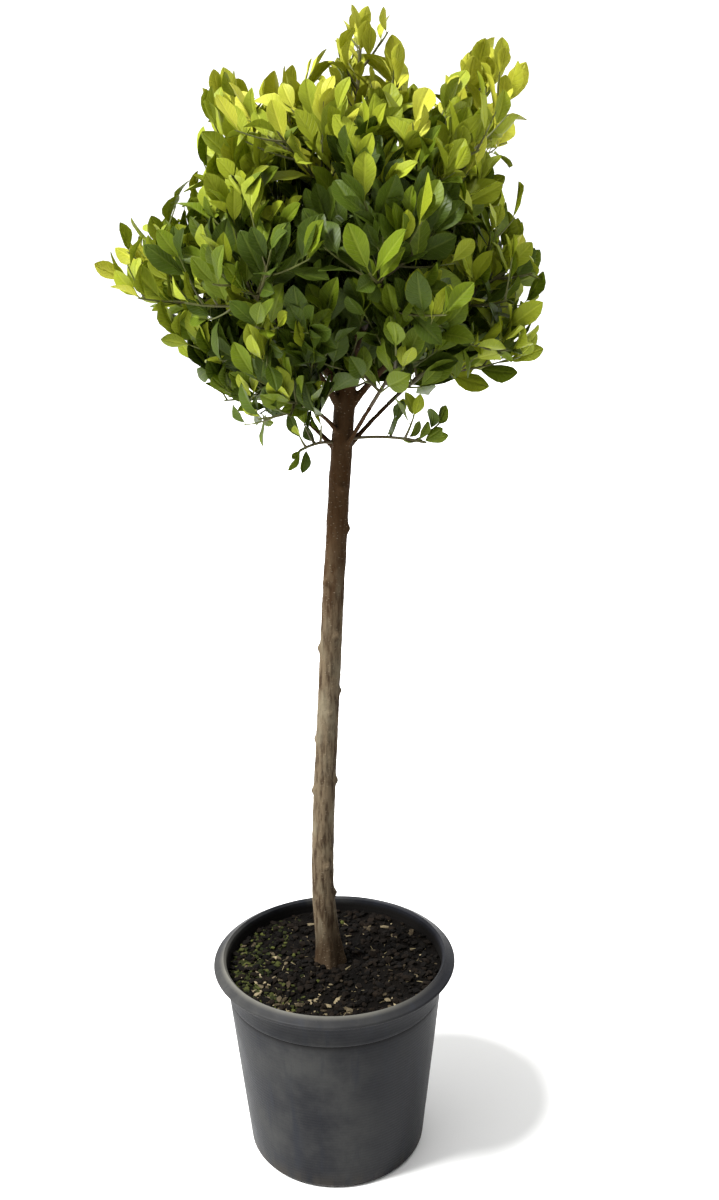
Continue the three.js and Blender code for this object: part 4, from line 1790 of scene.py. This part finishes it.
@dataclass
class Soil:
    """Peaty soil heaped a little round the stem, crumbly on top."""

    pot: Pot
    below_rim: float = 0.019
    clearance: float = 0.0002
    mound: float = 0.005
    ring_width: float = 0.0042
    sides: int = 144
    skirt: float = 0.035
    skirt_taper: float = 0.006
    lump_scale: float = 38.0
    lump_layer: float = 0.3
    lump_height: float = 0.0034
    crumb_scale: float = 150.0
    crumb_layer: float = 0.7
    crumb_share: float = 0.45
    edge_relief: float = 0.35
    edge_power: int = 6
    crease: float = 60.0
    finish: SoilFinish = SoilFinish()

    @property
    def level(self) -> float:
        """Height of the soil at the pot's wall."""
        return self.pot.height - self.below_rim

    @property
    def radius(self) -> float:
        """The soil's edge, against the wall."""
        return self.pot.wall_radius(self.level) - self.pot.wall - self.clearance

    def height(self, x: float, y: float) -> float:
        """Height of the crumbled surface.

        Args:
            x: The place to the right of the middle.
            y: The place behind it.

        Returns:
            The height there.
        """
        share = min(math.hypot(x, y) / self.radius, 1.0)
        lump = rough((x, y, self.lump_layer), self.lump_scale, 3) * self.lump_height
        lump += rough((x, y, self.crumb_layer), self.crumb_scale, 2) * self.lump_height * self.crumb_share
        inward = self.edge_relief + (1.0 - self.edge_relief) * (1.0 - share**self.edge_power)
        return self.level + self.mound * (1.0 - share**2) + lump * inward

    def build(self) -> None:
        """Inset a disc ring by ring, give it a skirt down the wall, and heap and crumble it."""
        soil = disc("soil_surface", self.sides, self.radius, self.level)
        for _ in range(int(self.radius / self.ring_width) - 2):
            bpy.ops.mesh.inset(thickness=self.ring_width, depth=0.0)
        bpy.ops.mesh.poke()
        draw_out([(self.radius, self.level), (self.radius - self.skirt_taper, self.level - self.skirt)])
        for vertex in soil.data.vertices:
            if vertex.co.z > self.level - self.skirt / 2:
                vertex.co.z = self.height(vertex.co.x, vertex.co.y)
        smooth(soil, self.crease)
        adopt(soil, "potting_soil", ["soil"], self.finish)


class Bit(Enum):
    """Kinds of loose litter."""

    CRUMB = "soil_crumbs"
    CHIP = "bark_chips"
    STRAW = "straw"
    MOSS = "moss"


@dataclass(frozen=True)
class Scatter:
    """How one kind of litter lies: its count, sizes and shape, and how much it keeps to one side."""

    count: int
    sizes: Span
    stretch: Triple
    bias: float
    finish: Fleck


SCATTERS: dict[Bit, Scatter] = {
    Bit.CRUMB: Scatter(
        count=1700,
        sizes=(0.0012, 0.0066),
        stretch=(1.0, 0.75, 0.6),
        bias=0.0,
        finish=Fleck("soil_crumb", (0.0011, 0.0008, 0.0005), (0.0085, 0.0052, 0.0027)),
    ),
    Bit.CHIP: Scatter(
        count=210,
        sizes=(0.0022, 0.0085),
        stretch=(1.0, 0.50, 0.24),
        bias=0.94,
        finish=Fleck("bark_chip", (0.016, 0.011, 0.006), (0.27, 0.22, 0.13)),
    ),
    Bit.STRAW: Scatter(
        count=110,
        sizes=(0.0040, 0.0120),
        stretch=(1.0, 0.09, 0.07),
        bias=0.86,
        finish=Fleck("straw_bit", (0.030, 0.022, 0.010), (0.30, 0.25, 0.14)),
    ),
    Bit.MOSS: Scatter(
        count=520,
        sizes=(0.0012, 0.0040),
        stretch=(1.0, 0.9, 0.5),
        bias=-1.0,
        finish=Fleck("moss_tuft", (0.006, 0.008, 0.002), (0.060, 0.066, 0.015)),
    ),
}


@dataclass
class Litter:
    """Loose bits on the soil: crumbs all over, chips and straw to the front left, and a little moss."""

    soil: Soil
    outermost: float = 0.97
    stem_room: float = 0.125
    front_left: Triple = (-0.55, -0.83, 0.0)
    left: Triple = (-0.97, -0.20, -0.10)
    strays: float = 0.02
    seeds: int = 1000
    chipping: Span = (0.75, 1.25)
    tilt: float = 0.9
    rise: float = 0.45
    shade_power: float = 1.7
    crease: float = 35.0

    def _place(self, random: Stream, bias: float) -> Span:
        """Find a spot on the soil, clear of the stem.

        Args:
            random: The kind's own stream.
            bias: How much the kind keeps to a side: positive is to the front left, negative to the left.

        Returns:
            The spot.
        """
        right, back, offset = self.front_left if bias > 0 else self.left
        while True:
            turn, share = 2 * math.pi * random(), math.sqrt(random()) * self.outermost
            x, y = share * math.cos(turn), share * math.sin(turn)
            lean = right * x + back * y + offset
            if random() < mix(1.0, max(lean, self.strays) ** 2, abs(bias)) and share > self.stem_room:
                return x * self.soil.radius, y * self.soil.radius

    @staticmethod
    def _lump() -> tuple[Array, Faces]:
        """Take a twenty-sided lump of radius one.

        Returns:
            Its corners and faces.
        """
        deselect()
        bpy.ops.mesh.primitive_ico_sphere_add(subdivisions=1, radius=1.0)
        lump = bpy.context.object
        corners = np.array([vertex.co for vertex in lump.data.vertices])
        faces = [tuple(polygon.vertices) for polygon in lump.data.polygons]
        bpy.ops.object.delete()
        return corners, faces

    def _kind(self, kind: Bit, number: int) -> None:
        """Scatter all the bits of one kind, as one piece.

        Args:
            kind: The kind of litter.
            number: Its number, which seeds it.
        """
        scatter, (corners, faces) = SCATTERS[kind], self._lump()
        random = Stream(SEED * self.seeds + number)
        shaker = np.random.default_rng(SEED + number)
        vertices, polygons, shades = [], [], []
        for i in range(scatter.count):
            x, y = self._place(random, scatter.bias)
            size = mix(*scatter.sizes, random() ** 2)
            chipped = corners * shaker.uniform(*self.chipping, corners.shape)
            lump = chipped * np.array(scatter.stretch) * size
            turned = Matrix.Rotation(ANY_TURN * random(), 3, "Z")
            tilted = Matrix.Rotation(random.spread(0.0, self.tilt), 3, "Y")
            at = np.array([x, y, self.soil.height(x, y) + size * scatter.stretch[2] * self.rise])
            vertices.append(lump @ np.array(turned @ tilted).T + at)
            polygons += [tuple(v + len(corners) * i for v in face) for face in faces]
            shades.append(np.full(len(corners), random() ** self.shade_power))
        piece = from_arrays(kind.value, np.vstack(vertices), polygons, np.concatenate(shades))
        smooth(piece, self.crease)
        adopt(piece, "potting_soil", ["soil"], scatter.finish)

    def build(self) -> None:
        """Scatter every kind."""
        for number, kind in enumerate(Bit):
            self._kind(kind, number)


@dataclass
class Wood:
    """Trunk and boughs as one skin of bark, with fissures, knots and a fluted root flare."""

    crown: Crown
    sunk: float = 0.012
    trunk_points: int = 90
    bough_points: int = 16
    collar: float = 0.55
    collar_share: float = 0.11
    rod_resolution: int = 4
    voxel: float = 0.0013
    settle: int = 6
    settle_factor: float = 0.5
    trunk_relief: float = 0.0006
    bough_relief: float = 0.0003
    trunk_reach: float = 1.35
    fissure_scale: float = 190.0
    fissure_pull: float = 0.22
    fine_scale: float = 420.0
    fine_share: float = 0.4
    flute_end: float = 0.02
    knots: int = 17
    knot_heights: Span = (0.30, 0.90)
    knot_height: float = 0.0030
    knot_radius: float = 0.0048
    knot_seed: int = SEED * 77
    crease: float = 80.0
    finish: Bark = Bark()

    def _rod(self, points: Sequence[Array], radii: Sequence[float]) -> bpy.types.Object:
        """Turn a bevelled curve into a round rod.

        Args:
            points: Places along its line.
            radii: Its radius at each.

        Returns:
            The rod, as a mesh.
        """
        curve = bpy.data.curves.new("rod", "CURVE")
        curve.dimensions = "3D"
        curve.bevel_depth = 1.0
        curve.bevel_resolution = self.rod_resolution
        curve.use_fill_caps = True
        spline = curve.splines.new("POLY")
        spline.points.add(len(points) - 1)
        for knot, point, radius in zip(spline.points, points, radii):
            knot.co = (*point, 1.0)
            knot.radius = radius
        rod = bpy.data.objects.new("rod", curve)
        bpy.context.collection.objects.link(rod)
        choose(rod)
        bpy.ops.object.convert(target="MESH")
        return bpy.context.object

    def _rods(self) -> list[bpy.types.Object]:
        """Make the trunk, sunk a little into the soil, and each bough from the trunk to its split.

        Returns:
            The rods, the trunk first.
        """
        line = self.crown.trunk
        heights = [line.foot - self.sunk, *np.linspace(line.foot, line.tip, self.trunk_points)]
        girth = [line.radius(max(z, line.foot)) for z in heights]
        rods = [self._rod([line.centre(z) for z in heights], girth)]
        for limb in self.crown.limbs:
            if limb.split > 0:
                shares = np.linspace(0.0, limb.split, self.bough_points)
                swell = [1.0 + self.collar * math.exp(-((t / self.collar_share) ** 2)) for t in shares]
                radii = [limb.radius_at(t) * wider for t, wider in zip(shares, swell)]
                rods.append(self._rod([limb.point(t) for t in shares], radii))
        return rods

    def _knots(self) -> Array:
        """Spread the knots over the trunk's skin.

        Returns:
            Their places as rows of three.
        """
        random, line = Stream(self.knot_seed), self.crown.trunk
        places = []
        for i in range(self.knots):
            z = mix(*self.knot_heights, (i + random()) / self.knots)
            turn = i * GOLDEN_ANGLE + random()
            out = np.array([math.cos(turn), math.sin(turn), 0.0])
            places.append(line.centre(z) + out * line.radius(z))
        return np.array(places)

    def _lift(self, place: Array) -> float:
        """How far a place on the skin is pushed out by fissures, roughness and flutes.

        Args:
            place: The place.

        Returns:
            The push along its normal.
        """
        line = self.crown.trunk
        out = place - line.centre(min(place[2], line.tip))
        near = math.hypot(out[0], out[1]) < line.radius(max(place[2], line.foot)) * self.trunk_reach
        depth = self.trunk_relief if near else self.bough_relief
        lift = depth * rough((place[0], place[1], place[2] * self.fissure_pull), self.fissure_scale, 3)
        lift += self.fine_share * depth * rough(place, self.fine_scale, 2)
        fade = math.exp(-max(place[2] - line.foot, 0.0) / line.flare_height)
        if fade > self.flute_end:
            wave = math.cos(line.flare_lobes * math.atan2(out[1], out[0]))
            lift += line.foot_radius * line.flare_relief * fade * wave
        return lift

    def _relieve(self, wood: bpy.types.Object) -> None:
        """Push the skin in and out, and raise the knots.

        Args:
            wood: The smooth skin.
        """
        mesh = wood.data
        places, normals = np.empty(len(mesh.vertices) * 3), np.empty(len(mesh.vertices) * 3)
        mesh.vertices.foreach_get("co", places)
        mesh.vertices.foreach_get("normal", normals)
        places, normals = places.reshape(-1, 3), normals.reshape(-1, 3)
        lift = np.array([self._lift(place) for place in places])
        away = np.linalg.norm(places[:, None] - self._knots()[None], axis=2).min(axis=1)
        lift += self.knot_height * np.exp(-((away / self.knot_radius) ** 2))
        mesh.vertices.foreach_set("co", (places + normals * lift[:, None]).ravel())
        mesh.update()

    def build(self) -> None:
        """Join the rods, fuse them into one skin, smooth it and rough it up."""
        rods = self._rods()
        deselect()
        for rod in rods:
            rod.select_set(True)
        bpy.context.view_layer.objects.active = rods[0]
        bpy.ops.object.join()
        wood = bpy.context.object
        wood.name = "bark_skin"
        apply_modifier(wood, "REMESH", mode="VOXEL", voxel_size=self.voxel)
        apply_modifier(wood, "SMOOTH", factor=self.settle_factor, iterations=self.settle)
        self._relieve(wood)
        smooth(wood, self.crease)
        adopt(wood, "bark", ["trunk", *self.crown.boughs], self.finish)


def tube(points: Array, radii: Array, sides: int) -> tuple[Array, Faces]:
    """A closed tapering tube along a line.

    Args:
        points: Places along the line.
        radii: The radius at each.
        sides: Corners of its section.

    Returns:
        Vertices and faces.
    """
    angles = np.linspace(0.0, 2 * math.pi, sides, endpoint=False)
    reference = steady(unit(points[-1] - points[0]))
    rings = []
    for point, tangent, radius in zip(points, np.gradient(points, axis=0), radii):
        side, normal = square_to(unit(tangent), reference)
        rings.append(point + radius * (np.outer(np.cos(angles), side) + np.outer(np.sin(angles), normal)))
    faces: Faces = []
    for level in range(len(points) - 1):
        low, high = level * sides, (level + 1) * sides
        faces += [(low + i, low + (i + 1) % sides, high + (i + 1) % sides, high + i) for i in range(sides)]
    last = (len(points) - 1) * sides
    faces += [tuple(range(sides))[::-1], tuple(last + i for i in range(sides))]
    return np.vstack(rings), faces


@dataclass
class Twigs:
    """Stems, twigs and spurs, greener as they get finer, each ending in a pointed bud."""

    crown: Crown
    shoots: list[Shoot]
    stem_sides: int = 6
    side_sides: int = 5
    bud: float = 0.005
    bud_swell: float = 1.15
    bud_widest: float = 0.3
    bud_tip: float = 0.0002
    youth: Span = (0.15, 0.45)
    youth_gain: float = 0.4
    crease: float = 50.0
    finish: TwigBark = TwigBark()

    def _wood(self, shoot: Shoot) -> tuple[Array, Faces, Array]:
        """One shoot up to the last thing that it bears, with its bud.

        Args:
            shoot: The shoot.

        Returns:
            Vertices, faces, and a number for each vertex that rises with the wood's youth.
        """
        line, girth = shoot.trimmed()
        way = unit(line[-1] - line[-2])
        points = np.vstack([line, line[-1] + way * self.bud * self.bud_widest, line[-1] + way * self.bud])
        radii = np.concatenate([girth, [girth[-1] * self.bud_swell, self.bud_tip]])
        rings, faces = tube(points, radii, self.stem_sides if shoot.rank is Rank.STEM else self.side_sides)
        youth = mix(*self.youth, shoot.rank.value / Rank.SPUR.value)
        shades = np.linspace(youth, youth + self.youth_gain, len(points))
        return rings, faces, np.repeat(shades, len(rings) // len(points))

    def build(self) -> None:
        """Join all the finer wood that bears something."""
        vertices, faces, shades, total = [], [], [], 0
        for shoot in self.shoots:
            if shoot.used > 0.0:
                rings, polygons, youth = self._wood(shoot)
                vertices.append(rings)
                faces += [tuple(v + total for v in polygon) for polygon in polygons]
                shades.append(youth)
                total += len(rings)
        piece = from_arrays("twigs", np.vstack(vertices), faces, np.concatenate(shades))
        smooth(piece, self.crease)
        adopt(piece, "bark", self.crown.masses, self.finish)


@dataclass
class Foliage:
    """The leaves: obovate blades on short stalks, joined into one piece for each painted light tone.

    Each row of a blade is a share of its length and of its full width there, and columns run across it.
    """

    crown: Crown
    leaves: list[Leaf]
    rows: tuple[Span, ...] = (
        (0.0, 0.05),
        (0.14, 0.055),
        (0.22, 0.33),
        (0.36, 0.70),
        (0.54, 0.96),
        (0.68, 1.0),
        (0.84, 0.74),
        (0.95, 0.34),
        (1.0, 0.05),
    )
    columns: tuple[float, ...] = (-1.0, -0.5, 0.0, 0.5, 1.0)
    stalk: float = 0.14
    slimness: float = 0.228
    thickness: float = 0.0007
    cupping: float = 0.35
    shortening: float = 0.25
    wave_height: float = 0.03
    wave_rate: float = 9.0
    crease: float = 65.0

    def _blade(self) -> tuple[Faces, int]:
        """Number the faces of one blade: its upper side, the two halves of its lower one, and its ends.

        Returns:
            The faces, the upper side first, and how many of them are upper.
        """
        wide, tall = len(self.columns), len(self.rows)
        below, end = wide * tall, (tall - 1) * wide
        upper, lower = [], []
        for r in range(tall - 1):
            here, there = r * wide, (r + 1) * wide
            upper += [(here + c, there + c, there + c + 1, here + c + 1) for c in range(wide - 1)]
            lower.append((here, below + r, below + r + 1, there))
            lower.append((below + r, here + wide - 1, there + wide - 1, below + r + 1))
        root = (*range(wide), below)
        tip = (*range(end, end + wide), below + tall - 1)[::-1]
        return [*upper, *lower, root, tip], len(upper)

    def _points(self, leaf: Leaf) -> Array:
        """Shape one leaf.

        Args:
            leaf: The leaf.

        Returns:
            Places of its corners: its upper side row by row, then the line under its midrib.
        """
        shares, widths = np.array(self.rows).T
        columns = np.array(self.columns)
        across = np.cross(leaf.face, leaf.along)
        half = widths[:, None] * columns[None] * leaf.size * self.slimness
        blade = np.clip((shares - self.stalk) / (1.0 - self.stalk), 0.0, 1.0)
        rise = leaf.fold * np.abs(half) + self.cupping * leaf.fold * np.abs(half) * (1.0 - np.abs(columns))
        wave = np.sin(self.wave_rate * shares + ANY_TURN * leaf.shade)
        rise += (self.wave_height * leaf.size * wave * widths)[:, None] * columns[None] ** 2
        rise -= (leaf.curl * leaf.size * blade**2)[:, None]
        lines = shares[:, None] * leaf.size * (1.0 - self.shortening * abs(leaf.curl) * blade[:, None])
        top = leaf.root + lines[..., None] * leaf.along
        top = top + half[..., None] * across + rise[..., None] * leaf.face
        under = top[:, len(self.columns) // 2] - leaf.face * self.thickness
        return np.vstack([top.reshape(-1, 3), under])

    def _map(self, piece: bpy.types.Object, count: int) -> None:
        """Lay the leaf map: across from 0 to 1, and along from stalk to tip.

        Args:
            piece: The piece to map.
            count: How many leaves it has.
        """
        shares = np.array([share for share, _ in self.rows])
        wide = np.array([(column + 1.0) / 2 for column in self.columns])
        top = np.stack(np.meshgrid(wide, shares), axis=-1).reshape(-1, 2)
        under = np.stack([np.full(len(shares), 0.5), shares], axis=-1)
        corners = np.tile(np.vstack([top, under]), (count, 1))
        loops = np.empty(len(piece.data.loops), dtype=np.int32)
        piece.data.loops.foreach_get("vertex_index", loops)
        piece.data.uv_layers.new(name=LEAF_MAP).data.foreach_set("uv", corners[loops].ravel())

    def _tone(self, tone: Tone) -> None:
        """Join all the leaves of one tone into a piece.

        Args:
            tone: The tone.
        """
        leaves = [leaf for leaf in self.leaves if leaf.tone is tone]
        faces, upper = self._blade()
        size = len(self.rows) * (len(self.columns) + 1)
        vertices = np.vstack([self._points(leaf) for leaf in leaves])
        polygons = [tuple(v + size * i for v in face) for i in range(len(leaves)) for face in faces]
        shades = np.repeat([leaf.shade for leaf in leaves], size)
        piece = from_arrays(f"leaves_{tone.value}", vertices, polygons, shades)
        sides = np.tile([0] * upper + [1] * (len(faces) - upper), len(leaves))
        piece.data.polygons.foreach_set("material_index", sides)
        self._map(piece, len(leaves))
        smooth(piece, self.crease)
        adopt(piece, "foliage", self.crown.masses, LEAF_FACES[tone], LEAF_BACKS[tone])

    def build(self) -> None:
        """Build a piece for each tone."""
        for tone in Tone:
            self._tone(tone)


# Stage


@dataclass(frozen=True)
class Card:
    """A flat sheet of the stage, with its turns in degrees."""

    name: str
    at: Triple
    turned: Span
    size: Span
    colour: Colour = (0.01, 0.01, 0.01)
    roughness: float = 1.0
    specular: float = 0.0

    def build(self) -> bpy.types.Object:
        """Stand the card on the stage.

        Returns:
            The card.
        """
        deselect()
        tilt, lean = (math.radians(angle) for angle in self.turned)
        bpy.ops.mesh.primitive_plane_add(size=1.0, location=self.at, rotation=(tilt, lean, 0))
        card = bpy.context.object
        card.name = self.name
        card.scale = (*self.size, 1.0)
        shader = Shader(self.name)
        shader.cover(self.colour, self.roughness, None, self.specular)
        card.data.materials.append(shader.material)
        card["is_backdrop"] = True
        return card


@dataclass
class Studio:
    """A pale floor, soft light from the upper left, dark cards that take soft light away, and a camera."""

    floor: Card = Card(
        "floor",
        at=(0.0, 0.0, -0.0005),
        turned=(0.0, 0.0),
        size=(60.0, 60.0),
        colour=(0.86, 0.86, 0.85),
        roughness=0.9,
        specular=0.1,
    )
    flags: tuple[Card, ...] = (
        Card("flag_right", (0.9, -0.3, 0.28), (0.0, 90.0), (1.0, 2.6)),
        Card("flag_front", (0.3, -3.0, 1.2), (90.0, 0.0), (5.0, 3.0)),
    )
    sky: Colour = (1.0, 1.0, 1.0)
    sky_strength: float = 1.45
    key_strength: float = 6.9
    key_angle: float = 14.0
    key_from: Triple = (-0.55, -0.24, 0.84)
    camera_at: Triple = PHOTO_FROM
    camera_pitch: float = 13.80
    camera_roll: float = -0.68
    lens: float = 33.78
    sensor: float = 36.0

    def _light(self) -> None:
        """Hang the soft sky and the key light."""
        world = bpy.data.worlds.new("soft_sky")
        world.use_nodes = True
        sky = world.node_tree.nodes["Background"]
        sky.inputs["Color"].default_value = (*self.sky, 1.0)
        sky.inputs["Strength"].default_value = self.sky_strength
        bpy.context.scene.world = world
        lamp = bpy.data.lights.new("key", "SUN")
        lamp.energy = self.key_strength
        lamp.angle = math.radians(self.key_angle)
        key = bpy.data.objects.new("key", lamp)
        key.rotation_euler = Vector(self.key_from).to_track_quat("Z", "Y").to_euler()
        bpy.context.collection.objects.link(key)

    def _camera(self) -> None:
        """Stand the camera where the photo was taken from."""
        lens = bpy.data.cameras.new("camera")
        lens.lens, lens.sensor_width, lens.sensor_fit = self.lens, self.sensor, "AUTO"
        camera = bpy.data.objects.new("camera", lens)
        pitch = Matrix.Rotation(math.radians(90.0 - self.camera_pitch), 4, "X")
        roll = Matrix.Rotation(math.radians(self.camera_roll), 4, "Z")
        camera.matrix_world = Matrix.Translation(self.camera_at) @ pitch @ roll
        bpy.context.collection.objects.link(camera)
        bpy.context.scene.camera = camera

    def build(self) -> None:
        """Set the stage round the finished plant."""
        self.floor.build()
        for flag in self.flags:
            card = flag.build()
            card.visible_camera = False
            card.visible_shadow = False
        self._light()
        self._camera()
        bpy.context.scene.view_settings.view_transform = "Standard"


def write_sizes() -> None:
    """Gather the part's box and the finished plant's box as plain lists."""
    boxes = {"cad": CAD_BOX, "visual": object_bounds()}
    plain = {name: [list(corner) for corner in box] for name, box in boxes.items()}


def main() -> None:
    """Build every piece in order."""
    pot = Pot()
    pot.build()
    soil = Soil(pot)
    soil.build()
    Litter(soil).build()
    crown = Crown(TrunkLine())
    Wood(crown).build()
    shoots = crown.shoots()
    leaves = crown.leaves(shoots)
    log.info("%d shoots, %d leaves", len(shoots), len(leaves))
    Twigs(crown, shoots).build()
    Foliage(crown, leaves).build()
    Studio().build()
    write_sizes()


if __name__ == "__main__":
    main()
